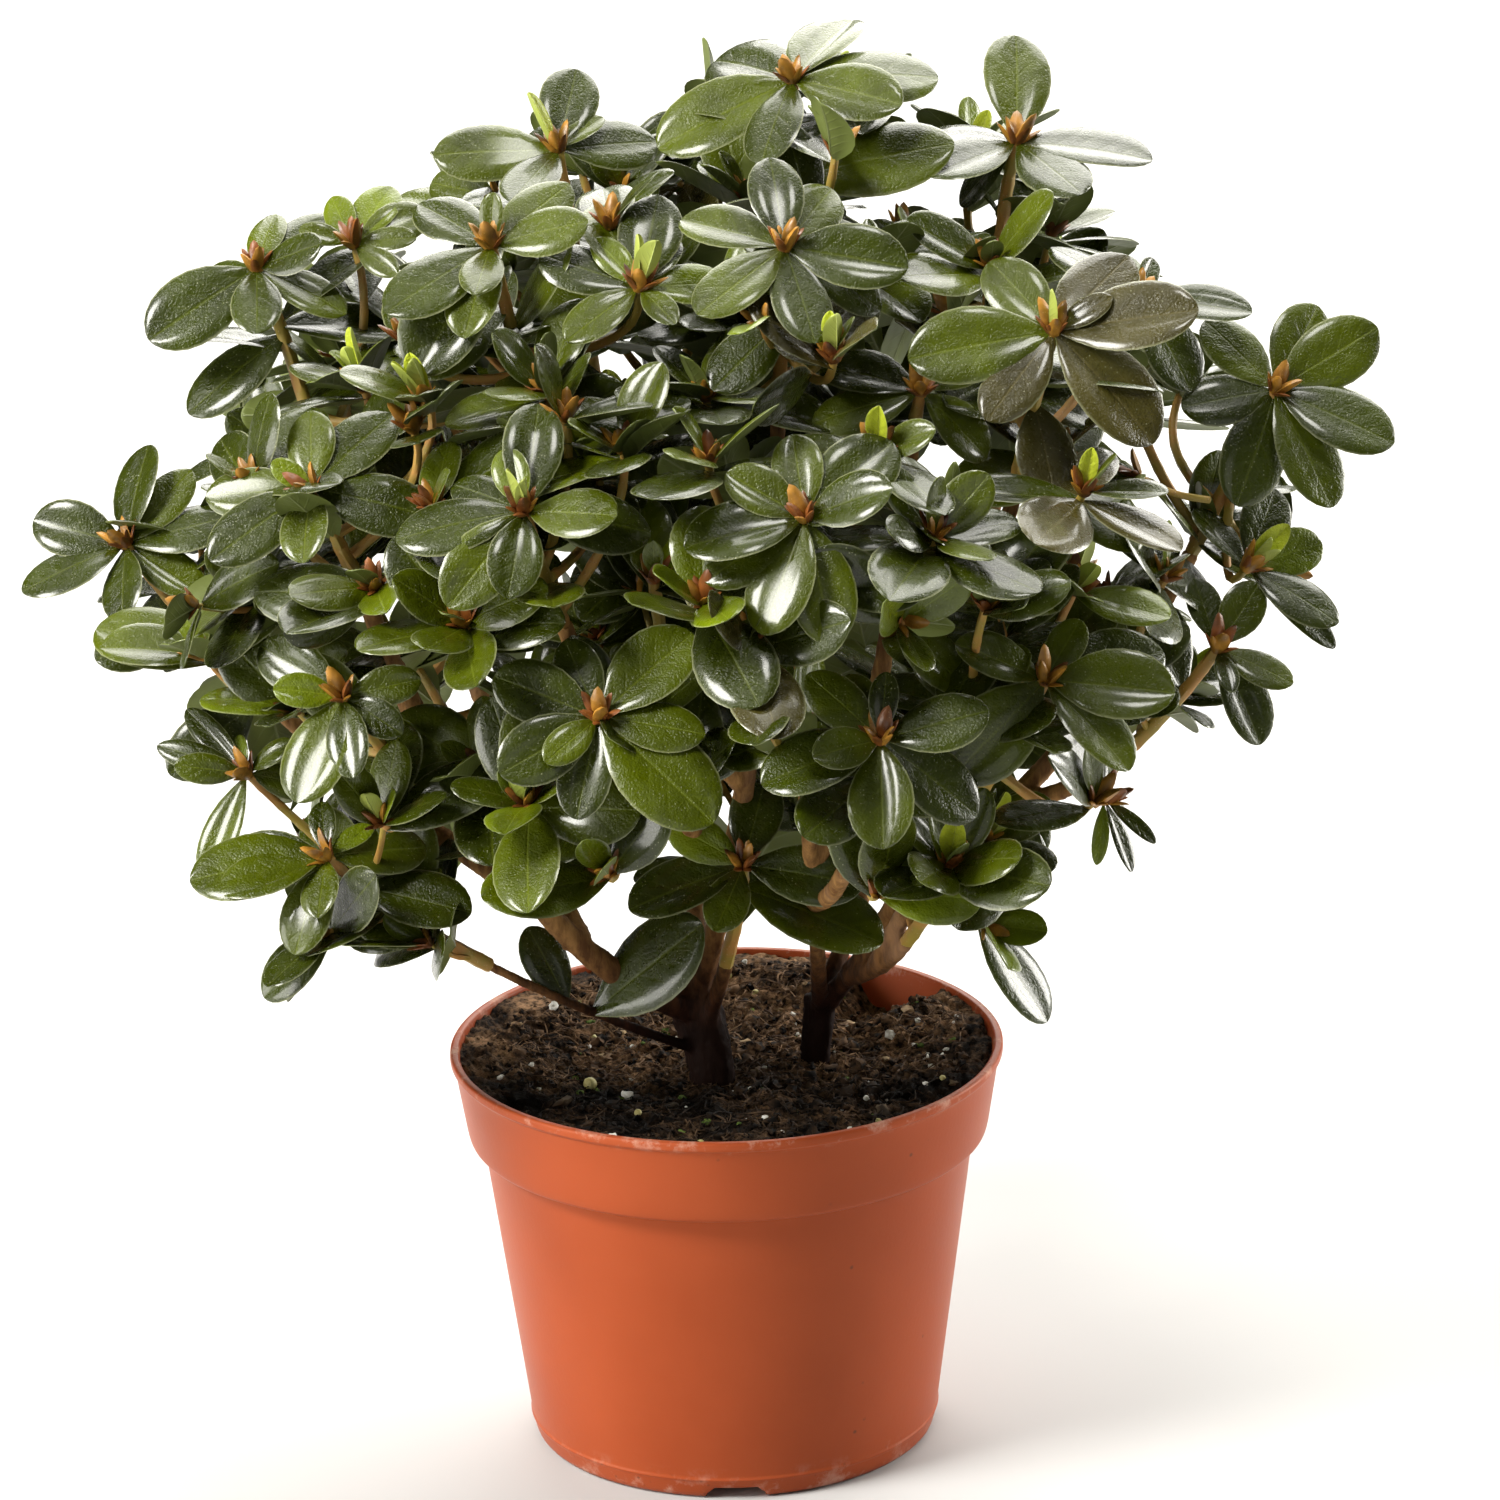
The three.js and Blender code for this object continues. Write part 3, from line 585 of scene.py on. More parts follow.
def test_points(root, along, side, normal, length, width, curl):
    """Five points that stand for a leaf: three down its midrib and one near each margin."""
    out = []
    for t, v in TESTED:
        turn = max(abs(curl), 1e-3) * t
        sink = length * (1 - math.cos(turn)) / max(abs(curl), 1e-3)
        forward = along * length * t * 0.98
        out.append(root + forward - normal * math.copysign(sink, curl) + side * v * width / 2)
    return np.array(out)


def covers_open_air(root, along, side, length, width):
    """Whether a blade, as seen from the front, would lie over a gap or reach into one."""
    margin = [root + along * length * t + side * v * s * width / 2 for t, v in RIM for s in (-1, 1)]
    if in_open_air(np.array(margin)):
        return True
    place, _ = in_view(np.array([root, root + along * length, root + side * width / 2]))
    basis = np.stack([place[1] - place[0], place[2] - place[0]], 1)
    if abs(np.linalg.det(basis)) < EDGE_ON:
        return False
    t, v = np.linalg.solve(basis, (OPEN_AIR[:, :2] - place[0]).T)
    return bool(((t > 0) & (t < 1) & (np.abs(v) < 0.95 * half_width(t))).any())


print("points tested on a leaf:", len(TESTED), "and on its rim:", 2 * len(RIM))

# %% Find room for each leaf
OVERHANG = 5.0  # how far a leaf may reach out of its mass's space
SHOWN_REACH = 4.2
LEAF_REACH = 32  # leaves with their middles further apart than this can't meet


def lowest(points):
    """How low leaves may hang: high over the trunks, which stay in sight, and lower at the sides."""
    x, y = points[:, 0], points[:, 1]
    beside_trunks = np.where(np.hypot(x, y) < 72, 108, 96)
    return np.where(np.abs(x) < 46, 127 - 0.38 * y, beside_trunks)


def hides_shown_leaf(points):
    place, away = in_view(points)
    close = np.linalg.norm(place[:, None] - shown_places[None], axis=2) < SHOWN_REACH
    return bool((close & (away[:, None] < shown_away[None] - 1.0)).any())


def has_room(points, mass, gap):
    if depth_in(mass, points).min() < -OVERHANG or (points[:, 2] < lowest(points)).any():
        return False
    if in_open_air(points) or not clear_of_wood(points, 0.8) or hides_shown_leaf(points):
        return False
    near = np.linalg.norm(placed_middles - points[1], axis=1) < LEAF_REACH
    if near.any():
        others = placed_points[near].reshape(-1, 3)
        if np.linalg.norm(points[:, None] - others[None], axis=2).min() < gap:
            return False
    return True


def keep_leaf(shoot, kind, corners, points):
    global placed_points, placed_middles
    shoot.leaves.append((kind, corners))
    placed_points = np.concatenate([placed_points, points[None]])
    placed_middles = np.concatenate([placed_middles, points[1][None]])


# Positions tried in turn: how much the leaf lifts, how far it turns round the stem, share of its size.
TRIES = [
    (0, 0, 1), (0.22, 0.1, 1), (-0.18, -0.1, 1), (0.42, 0, 1),
    (0.1, 0.3, 0.9), (0.3, -0.3, 0.85), (0.6, 0, 0.85),
]


def try_leaf(kind, shoot, root, away, axis, rise, length, gap=3.0):
    """Adds one leaf in the first position that has room, or none."""
    aspect = luck.uniform(0.51, 0.63)
    curl = luck.uniform(-0.05, 0.42)
    cup = luck.uniform(-0.15, 0.22)
    tilt = luck.uniform(-0.4, 0.4)
    for lift, spin, share in TRIES:
        size = length * share
        out = turned(away, axis, spin)
        along = unit(out * math.cos(rise + lift) + axis * math.sin(rise + lift))
        face = turned(unit(axis - along * (axis @ along)), along, tilt)
        side = unit(np.cross(face, along))
        width = size * aspect
        points = test_points(root, along, side, face, size, width, curl)
        if has_room(points, shoot.mass, gap) and not covers_open_air(root, along, side, size, width):
            corners = leaf_points(root, along, face, size, width, curl, cup, luck.uniform(-1, 1))
            keep_leaf(shoot, kind, corners, points)
            return


print("positions tried for each leaf:", len(TRIES))


# %% Whorls of leaves
def kind_for(shoot, layer):
    """Old leaves are dark, some sprays are bronze, and the ones by the bud are fresher."""
    p = luck.random()
    if shoot.spray == "bronze" and layer != "stem":
        return "bronze" if p < 0.4 else "deep" if p < 0.7 else "mid"
    if layer in ("outer", "stem"):
        return "deep" if p < 0.7 else "mid"
    if layer == "second":
        return "mid" if p < 0.5 else ("deep" if p < 0.85 else "fresh")
    return "fresh" if p < 0.6 else "mid"


def whorl(shoot, layer, count, turn, lengths, rises, drop):
    """One layer of leaves round a shoot, at a distance of drop below its tip."""
    side = beside(shoot.axis)
    for i in range(count):
        angle = turn + (i + luck.uniform(-0.16, 0.16)) * FULL_TURN / count
        away = turned(side, shoot.axis, angle)
        root = shoot.tip - shoot.axis * (drop + luck.uniform(-0.6, 0.6)) + away * 0.3
        length = luck.uniform(*lengths) * (0.6 + 0.4 * shoot.vigour)
        kind, rise = kind_for(shoot, layer), luck.uniform(*rises)
        try_leaf(kind, shoot, root, away, shoot.axis, rise, length)


for shoot in shoots:
    lucky = luck.random() < 0.05 and shoot.radius < STEM_RADIUS
    shoot.spray = "bronze" if lucky or shoot.mass == "right_shoulder" else "green"
    shoot.turn = luck.uniform(0, FULL_TURN)
    nod = turned(beside(shoot.axis), shoot.axis, luck.uniform(0, FULL_TURN))
    shoot.axis = unit(shoot.axis + nod * luck.uniform(0, 0.3))
print("bronze sprays:", sum(shoot.spray == "bronze" for shoot in shoots))

# %% [markdown]
# ## Leaves with a place of their own
# The rule alone would give some azalea, and this lesson wants this one. So in the rosettes that stand
# out most, each leaf is given by its tip, counted from the heart of the rosette: across, up, and
# towards the viewer, in mm. The rest of its form still comes from the rule, and the leaves that
# follow grow round it.

# %% Leading rosettes whose leaves are known one by one
KNOWN_LEAVES = {
    "top": [(-31, -14, 3), (-19, 9, -22), (13, 18, -18), (33, 4, 0), (24, -5, 12), (-8, -18, 18)],
    "top_right": [(1, 27, -15), (31, -2, 4), (-26, 4, -10), (-20, -8, 14), (14, -12, 20), (-14, -13, -8)],
    "top_left": [(-28, 0, 4), (4, 20, -12), (10, 9, -4), (23, 4, -10), (-10, -12, 18)],
    "left_of_top": [
        (-17, 12, -12), (17, 15, -10), (21, 6, 6), (-23, -14, 10), (-3, -10, 16), (-6, -20, 12),
        (-17, -28, 4),
    ],
    "upper_left": [
        (3, 14, -12), (-24, -16, 6), (-15, -6, -12), (17, 13, -10), (15, 5, 10), (1, -15, 14), (21, -9, 4),
    ],
    "upper_middle": [
        (-3, 22, -9), (-23, 8, -10), (-19, -15, 12), (7, -21, 14), (27, -4, 4), (11, 15, -12),
        (23, -12, -6),
    ],
    "right_shoulder": [
        (-14, 17, -8), (17, 18, -12), (31, 5, 8), (23, -23, 6), (-15, -19, 10), (-32, -5, 4), (12, 8, 4),
    ],
    "far_right": [
        (-15, 17, -4), (11, 20, -8), (24, 15, -6), (27, -11, 4), (13, -26, 8), (-8, -26, 8), (-21, -3, 6),
    ],
    "far_left": [
        (14, 18, -6), (3, 24, -8), (24, 7, 2), (-1, -17, 12), (18, -11, 4), (-22, 6, -4), (-24, -9, 6),
    ],
    "left_shoulder": [(-1, 18, -8), (17, 18, -8), (-24, -1, -4), (-22, -15, 8), (-2, -15, 14), (27, -5, 6)],
    "centre_left": [
        (3, 25, -10), (-5, 14, -4), (-16, 7, -6), (-28, -4, 4), (20, -1, 12), (-16, -20, 10), (-3, -18, 12),
        (28, -3, -4),
    ],
    "centre": [
        (-3, 19, -8), (-17, 10, -2), (-26, -5, 6), (19, 18, -8), (17, 7, 12), (-10, -24, 10), (6, -27, 6),
        (-22, -13, 2),
    ],
    "left_low": [(-15, 2, 4), (17, 4, 2), (-10, -23, 8), (2, -17, 11), (13, -8, 6), (-20, 12, -8)],
    "front_left": [
        (-23, 9, -2), (-8, 17, -4), (20, 19, -4), (-21, -12, 8), (-11, -9, 9), (25, -22, 8), (23, -3, 4),
        (-5, -22, 4),
    ],
    "front_middle": [
        (-16, 15, -2), (-8, 15, -6), (1, 15, 0), (23, 7, 4), (-26, -8, 6), (0, -23, 9), (22, -16, -6),
        (-14, -3, 10),
    ],
    "right_low": [(-19, 9, 5), (8, 14, -4), (28, -2, 6), (19, -18, 9), (-20, -21, 9), (27, 8, -8)],
    "right_tip": [(-5, 16, -4), (10, 15, -4), (17, -7, 4), (3, -9, 8), (11, -21, 2)],
    "lower_left": [
        (-2, 13, -6), (-22, 1, -4), (-24, -7, 6), (-8, -21, 7), (-2, -13, 10), (10, 8, -4), (23, 3, -6),
    ],
    "front_low": [(-26, -9, 6), (27, -4, 5), (5, 20, -8), (-6, -14, 10), (-17, 10, 2)],
    "right_middle": [(-22, 8, -6), (-24, -6, 4), (16, -14, -4), (14, 12, -10)],
}
print("leading rosettes:", len(KNOWN_LEAVES), "leaves:", sum(map(len, KNOWN_LEAVES.values())))

# %% Side rosettes and single leaves
# Side shoots, by where they end. A fourth number is a leaf's width as a share of its length.
KNOWN_SIDE_LEAVES = {
    (-15, -55, 295): [
        (-10, 12, -4, 0.5), (4, 22, -10), (-22, 8, -4), (-16, -11, 8), (8, -8, 10), (8, 12, -8),
        (-10, 20, -14), (20, 2, -4),
    ],
    (-80, -5, 293): [(8, 15, -8), (17, 9, -4), (10, -7, 8), (-6, 12, -8), (14, 2, 4), (-12, 4, 2)],
    (120, -35, 221): [(21, -11, 6), (21, -17, 2, 0.3), (-11, 14, -6), (8, 19, -8), (18, 6, -6)],
    (97, -15, 279): [
        (25.5, -3, 4), (13, -20, 6, 0.66), (-18, -6, 6), (-19, 13, -8), (4.5, 10, -6), (-2, 11, -8),
    ],
    (87, -45, 170): [(12, -9, 4, 0.3), (7, -16, 4, 0.32), (-1, -15, 2, 0.3)],
    (-107, -40, 179): [
        (-16, 2, 4, 0.48), (-10, -24, 8, 0.36), (-21, 7, -4, 0.34), (-15, 15, -10, 0.3), (10, 8, 4),
        (-3, 9, -4), (16, -3, -4),
    ],
}
# Leaves lower on the stems: where the leaf leaves the stem, across and up, and then its tip.
KNOWN_STEM_LEAVES = {
    "top": [(10, -23, 36, -14, 6)],
    "upper_left": [(3, -17, -16, -32, 4), (10, -12, 34, -12, -4)],
    "upper_middle": [(-3, -17, -16, -32, 6)],
    "lower_left": [(-13, 15, -31, -3, 4), (8, -8, 33, -12, 6)],
    "front_low": [(6, -6, 32, -17, 4)],
    "left_of_top": [(5, -14, -17, -28, 6)],
    "right_shoulder": [(0, -18, 0, -37, 6)],
}
# Leaves on the boughs below the crown, given by places in the frame.
KNOWN_BOUGH_LEAVES = {"lower_left": [(-34.3, -56.8, -11.6, -39.9, 17), (-40.6, -54.5, -51, -41, 3)]}
print("side rosettes:", len(KNOWN_SIDE_LEAVES), "leaves:", sum(map(len, KNOWN_SIDE_LEAVES.values())))


# %% Place the known leaves
def to_viewer(across, up, toward):
    return across * right + up * above + toward * back


def known_leaf(shoot, root, tip, want, aspect=None):
    """Adds a leaf whose root and tip are known, with its face turned to where want points."""
    global shown_places, shown_away
    along, length = unit(tip - root), np.linalg.norm(tip - root)
    face = turned(unit(want - along * (want @ along)), along, luck.uniform(-0.25, 0.25))
    side = unit(np.cross(face, along))
    width = length * (aspect or (luck.uniform(0.52, 0.63) if length > 14 else 0.48))
    curl = luck.uniform(0.05, 0.3)
    points = test_points(root, along, side, face, length, width, curl)
    cup, wave = luck.uniform(-0.15, 0.2), luck.uniform(-0.8, 0.8)
    corners = leaf_points(root, along, face, length, width, curl, cup, wave)
    keep_leaf(shoot, kind_for(shoot, "outer" if length > 20 else "second"), corners, points)
    place, away = in_view(np.concatenate([points, [shoot.tip, shoot.tip + shoot.axis * 5]]))
    shown_places = np.concatenate([shown_places, place])
    shown_away = np.concatenate([shown_away, away])


def known_rosette(shoot, rows):
    for across, up, toward, *aspect in rows:
        way = to_viewer(across, up, toward)
        root, want = shoot.tip + unit(way) * 1.2, shoot.axis * 0.6 + back * 0.5
        known_leaf(shoot, root, shoot.tip + way, want, *aspect)


def known_on_line(shoot, line, rows, origin, want):
    """Leaves on a stem or a bough. A leaf's root is the point of the line seen nearest to its place."""
    for x0, y0, x1, y1, toward in rows:
        apart = np.linalg.norm(in_view(line.points)[0] - (origin + (x0, y0)), axis=1)
        root = line.points[apart.argmin()]
        shift = origin + (x1, y1) - in_view(root)[0][0]
        known_leaf(shoot, root, root + to_viewer(*shift, toward), want)


leaders = [shoot for shoot in shoots if shoot.radius == STEM_RADIUS]
for shoot in leaders:
    mass = shoot.mass
    known_rosette(shoot, KNOWN_LEAVES.get(mass, ()))
    heart = in_view(shoot.tip)[0][0]
    on_stem, on_bough = KNOWN_STEM_LEAVES.get(mass, ()), KNOWN_BOUGH_LEAVES.get(mass, ())
    known_on_line(shoot, shoot.line, on_stem, heart, UP * 0.7 + back * 0.6)
    known_on_line(shoot, limbs[mass][0], on_bough, np.zeros(2), UP * 0.5 + back * 0.8)
for shoot in shoots:
    for tip, rows in KNOWN_SIDE_LEAVES.items():
        if np.linalg.norm(shoot.tip - tip) < 0.5:
            known_rosette(shoot, rows)
print("known leaves:", sum(len(shoot.leaves) for shoot in shoots))

# %% Rosettes that grow by the rule
followers = [shoot for shoot in shoots if shoot.vigour > 0.8 and shoot.radius < STEM_RADIUS]
fillers = [shoot for shoot in shoots if shoot.vigour < 0.8]
for rank in (leaders, followers, fillers):
    major = rank is not fillers
    growing = [shoot for shoot in rank if not shoot.leaves]
    outer_count = 6 if rank is leaders else 5 if major else 4
    for shoot in growing:
        whorl(shoot, "outer", outer_count, shoot.turn, (25, 31), (-0.15, 0.45), 2.5)
    for shoot in growing:
        whorl(shoot, "second", 4 if major else 3, shoot.turn + 0.7, (17, 24), (0.35, 0.85), 0.5)
    for shoot in rank if major else ():
        whorl(shoot, "inner", 2, shoot.turn + 1.9, (10, 14), (0.95, 1.2), -0.5)
print("rosette leaves:", sum(len(shoot.leaves) for shoot in shoots))

# %% Leaves along the stems
LEAF_STEP = 7.0
LEAFY_LENGTH = 52
before = sum(len(shoot.leaves) for shoot in shoots)
for shoot in shoots:
    line = shoot.line
    turn = luck.uniform(0, FULL_TURN)
    first = 2 if shoot.vigour > 0.8 else 1
    for k in range(first, int(min(line.length - 4, LEAFY_LENGTH) / LEAF_STEP)):
        share = 1 - k * LEAF_STEP / line.length
        along = line.direction(share)
        turn += GOLDEN_ANGLE
        away = turned(beside(along), along, turn)
        root = line.at(share) + away * 0.4
        rise, kind = luck.uniform(0.15, 0.6), kind_for(shoot, "stem")
        length = luck.uniform(23, 30) * (0.7 + 0.3 * shoot.vigour)
        try_leaf(kind, shoot, root, away, along, rise, length)
print("stem leaves:", sum(len(shoot.leaves) for shoot in shoots) - before)

# %% Let bare shoots go
grown = len(shoots)
shoots = [shoot for shoot in shoots if len(shoot.leaves) >= (3 if shoot.vigour > 0.8 else 2)]
blades = {"deep": [], "mid": [], "fresh": [], "bronze": [], "young": []}
for shoot in shoots:
    for kind, corners in shoot.leaves:
        blades[kind].append(corners)
print("shoots let go:", grown - len(shoots), "leaves kept:", sum(map(len, blades.values())))

# %% [markdown]
# ## Buds and young leaves
# In the heart of each rosette sits a cluster of pointed, rusty bud scales, and in some of them two or
# three narrow young leaves of a bright yellow-green have broken out already.


# %% Shape one bud scale
SCALE_OUTLINE = ((0, 0.6), (0.28, 1.0), (0.62, 0.92), (0.9, 0.5))  # share of length, share of width
SCALE_RINGS, SCALE_SIDES = len(SCALE_OUTLINE), 6


def scale_points(root, along, face, length, width):
    """A pointed scale, curved like a claw: rings of corners round a bent line, closed at both ends."""
    side = unit(np.cross(face, along))
    rings = []
    for t, r in SCALE_OUTLINE:
        centre = root + along * length * t + face * length * 0.22 * t * t
        for k in range(SCALE_SIDES):
            a = k * math.pi / 3
            rings.append(centre + (side * math.cos(a) + face * math.sin(a) * 0.6) * r * width / 2)
    ends = [root - along * 0.3, root + along * length + face * length * 0.24]
    return np.array(rings + ends)


def ring_faces(rings, sides):
    """Quads between neighbouring rings, and triangles to the two end points after them."""
    a = np.arange(rings - 1)[:, None] * sides + np.arange(sides)[None]
    b = np.arange(rings - 1)[:, None] * sides + (np.arange(sides)[None] + 1) % sides
    quads = np.stack([a, b, b + sides, a + sides], -1).reshape(-1, 4)
    k = np.arange(sides)
    n, last = rings * sides, (rings - 1) * sides
    first_cap = np.stack([(k + 1) % sides, k, np.full(sides, n)], -1)
    last_cap = np.stack([last + k, last + (k + 1) % sides, np.full(sides, n + 1)], -1)
    return quads, np.concatenate([first_cap, last_cap])


print("one bud scale:", len(scale_points(np.zeros(3), UP, right, 6.0, 3.0)), "vertices")

# %% Fill the hearts of the rosettes
# lean range, size factor, width as a share of the size, share of golden scales
INNER_SCALE, OUTER_SCALE = ((1.3, 1.5), 1.15, 0.5, 0.75), ((0.85, 1.25), 0.85, 0.42, 0.3)
scales, golden = [], []
for shoot in shoots:
    count = int(luck.integers(7, 10)) if shoot.vigour > 0.8 else 4
    side = beside(shoot.axis)
    for i in range(count):
        away = turned(side, shoot.axis, shoot.turn + i * GOLDEN_ANGLE)
        leans, factor, aspect, golden_share = INNER_SCALE if i < count / 3 else OUTER_SCALE
        lean = luck.uniform(*leans)
        along = unit(away * math.cos(lean) + shoot.axis * math.sin(lean))
        size = luck.uniform(5.0, 7.2) * (0.5 + 0.5 * shoot.vigour) * factor
        root = shoot.tip + away * 0.8 - shoot.axis * 0.8
        scales.append(scale_points(root, along, away, size, size * aspect))
        golden.append(luck.random() < golden_share)
    if luck.random() < 0.3 and shoot.vigour > 0.8:
        for i in range(int(luck.integers(1, 4))):
            away = turned(side, shoot.axis, shoot.turn + 0.9 + i * 2.1)
            rise = luck.uniform(1.1, 1.4)
            along = unit(away * math.cos(rise) + shoot.axis * math.sin(rise))
            size = luck.uniform(9, 15)
            face = unit(shoot.axis - along * (shoot.axis @ along))
            blades["young"].append(leaf_points(shoot.tip, along, face, size, size * 0.42, -0.25, 0.45, 0.3))
print("bud scales:", len(scales), "young leaves:", len(blades["young"]))

# %% [markdown]
# ## Colour and gloss of the leaves
# Three effects are used by more than one material, so each is a node group that is built once.
# `leaf_veins` draws the midrib and the side veins from the blade's own UV, as a mask and a height.
# `leaf_mottle` varies a colour a little over the crown, and `fine_flecks` gives the pale hairs and
# specks that break up the gloss. Such nodes are many and alike, so a few helpers wire them: `times`
# multiplies, `spread` maps a range, `blend` mixes two colours, and `grainy` is noise at one scale.


# %% Node helpers
def new_group(name, inputs, outputs):
    group = bpy.data.node_groups.new(name, "ShaderNodeTree")
    for label, kind, value in inputs:
        socket = group.interface.new_socket(name=label, in_out="INPUT", socket_type=kind)
        if value is not None:
            socket.default_value = value
    for label, kind in outputs:
        group.interface.new_socket(name=label, in_out="OUTPUT", socket_type=kind)
    return group, group.nodes.new("NodeGroupInput"), group.nodes.new("NodeGroupOutput")


def wire(tree, kind, links=None, **settings):
    """Adds a node, sets its properties, and joins or fills its inputs by name or number."""
    node = tree.nodes.new(kind)
    for key, value in settings.items():
        setattr(node, key, value)
    for key, value in (links or {}).items():
        socket = node.inputs[key]
        if isinstance(value, bpy.types.NodeSocket):
            tree.links.new(value, socket)
        else:
            socket.default_value = value
    return node


def maths(tree, operation, a, b=0.0):
    return wire(tree, "ShaderNodeMath", {0: a, 1: b}, operation=operation).outputs[0]


def times(tree, a, b):
    return maths(tree, "MULTIPLY", a, b)


def spread(tree, value, low, high, to_low=0.0, to_high=1.0):
    node = wire(tree, "ShaderNodeMapRange", {0: value, 1: low, 2: high, 3: to_low, 4: to_high})
    return node.outputs[0]


def on_object(tree):
    """Place on the object itself, in metres, so that an effect stays put whatever looks at it."""
    return wire(tree, "ShaderNodeTexCoord").outputs["Object"]


def grainy(tree, place, scale, detail, roughness=0.5):
    values = {"Vector": place, "Scale": scale, "Detail": detail, "Roughness": roughness}
    return wire(tree, "ShaderNodeTexNoise", values).outputs[0]


def blend(tree, factor, a, b):
    node = wire(tree, "ShaderNodeMix", {0: factor}, data_type="RGBA")
    for index, value in ((6, a), (7, b)):
        if isinstance(value, bpy.types.NodeSocket):
            tree.links.new(value, node.inputs[index])
        else:
            node.inputs[index].default_value = (*value, 1)
    return node.outputs[2]


FLOAT, COLOR = "NodeSocketFloat", "NodeSocketColor"
print("node groups so far:", len(bpy.data.node_groups))

# %% Leaf veins
veins, veins_in, veins_out = new_group(
    "leaf_veins",
    [("Side Veins", FLOAT, 7.0), ("Sharpness", FLOAT, 0.12)],
    [("Mask", FLOAT), ("Margin", FLOAT), ("Height", FLOAT)],
)
uv = wire(veins, "ShaderNodeUVMap", uv_map="UVMap")
split = wire(veins, "ShaderNodeSeparateXYZ", {0: uv.outputs[0]})
from_middle = maths(veins, "ABSOLUTE", maths(veins, "SUBTRACT", split.outputs[0], 0.5))
midrib = spread(veins, from_middle, 0.0, 0.035, 1.0, 0.0)
slanted = maths(veins, "SUBTRACT", split.outputs[1], times(veins, from_middle, 0.55))
phase = maths(veins, "FRACT", times(veins, slanted, veins_in.outputs["Side Veins"]))
from_vein = maths(veins, "ABSOLUTE", maths(veins, "SUBTRACT", phase, 0.5))
side_vein = spread(veins, from_vein, 0.0, veins_in.outputs["Sharpness"], 1.0, 0.0)
fading = spread(veins, from_middle, 0.05, 0.42, 1.0, 0.0)
side_mask = times(veins, side_vein, fading)
mask = maths(veins, "MAXIMUM", midrib, times(veins, side_mask, 0.3))
pillow = times(veins, spread(veins, from_vein, 0.0, 0.5), 0.25)
veins.links.new(mask, veins_out.inputs["Mask"])
veins.links.new(spread(veins, from_middle, 0.465, 0.498), veins_out.inputs["Margin"])
veins.links.new(maths(veins, "SUBTRACT", pillow, mask), veins_out.inputs["Height"])
print("leaf_veins:", len(veins.nodes), "nodes")

# %% Mottling
mottle, mottle_in, mottle_out = new_group(
    "leaf_mottle",
    [("Color", COLOR, (0.1, 0.2, 0.05, 1)), ("Scale", FLOAT, 60.0), ("Amount", FLOAT, 0.35)],
    [("Color", COLOR), ("Value", FLOAT)],
)
patches = grainy(mottle, on_object(mottle), mottle_in.outputs["Scale"], 3.0)
lightness = spread(mottle, patches, 0.3, 0.7)
swing = times(mottle, maths(mottle, "SUBTRACT", lightness, 0.5), mottle_in.outputs["Amount"])
shade_values = {"Color": mottle_in.outputs["Color"], "Value": maths(mottle, "ADD", swing, 1.0)}
shade = wire(mottle, "ShaderNodeHueSaturation", shade_values)
mottle.links.new(shade.outputs[0], mottle_out.inputs["Color"])
mottle.links.new(lightness, mottle_out.inputs["Value"])
print("leaf_mottle:", len(mottle.nodes), "nodes")

# %% Flecks
flecks, flecks_in, flecks_out = new_group(
    "fine_flecks",
    [("Scale", FLOAT, 2500.0), ("Share", FLOAT, 0.1)],
    [("Mask", FLOAT)],
)
cell_values = {"Vector": on_object(flecks), "Scale": flecks_in.outputs["Scale"]}
cells = wire(flecks, "ShaderNodeTexVoronoi", cell_values)
dot = spread(flecks, cells.outputs["Distance"], 0.12, 0.3, 1.0, 0.0)
chosen = wire(flecks, "ShaderNodeSeparateColor", {0: cells.outputs["Color"]}).outputs[0]
picked = maths(flecks, "LESS_THAN", chosen, flecks_in.outputs["Share"])
flecks.links.new(times(flecks, dot, picked), flecks_out.inputs["Mask"])
print("fine_flecks:", len(flecks.nodes), "nodes")


# %% Leaf materials
def use_group(tree, group, **values):
    node = tree.nodes.new("ShaderNodeGroup")
    node.node_tree = group
    for label, value in values.items():
        socket = node.inputs[label.replace("_", " ")]
        if isinstance(value, bpy.types.NodeSocket):
            tree.links.new(value, socket)
        else:
            socket.default_value = value
    return node


def new_material(name):
    material = bpy.data.materials.new(name)
    material.use_nodes = True
    tree = material.node_tree
    return material, tree, tree.nodes["Principled BSDF"]


def feed(tree, shader, **sources):
    """Joins outputs to the shader's sockets, whose names are given with _ for a space."""
    for label, source in sources.items():
        tree.links.new(source, shader.inputs[label.replace("_", " ")])


def setting(shader, **values):
    """Sets what is the same all over the surface on the shader's own sockets."""
    for label, value in values.items():
        shader.inputs[label.replace("_", " ")].default_value = value


def bumpy(tree, height, strength, distance, under=None):
    values = {"Height": height, "Strength": strength, "Distance": distance}
    if under is not None:
        values["Normal"] = under
    return wire(tree, "ShaderNodeBump", values).outputs[0]


print("node groups for the leaves:", [group.name for group in bpy.data.node_groups])

# %% The upper face of a leaf
MARGIN_COLOR, HAIR_COLOR = (0.34, 0.35, 0.20), (0.36, 0.37, 0.24)


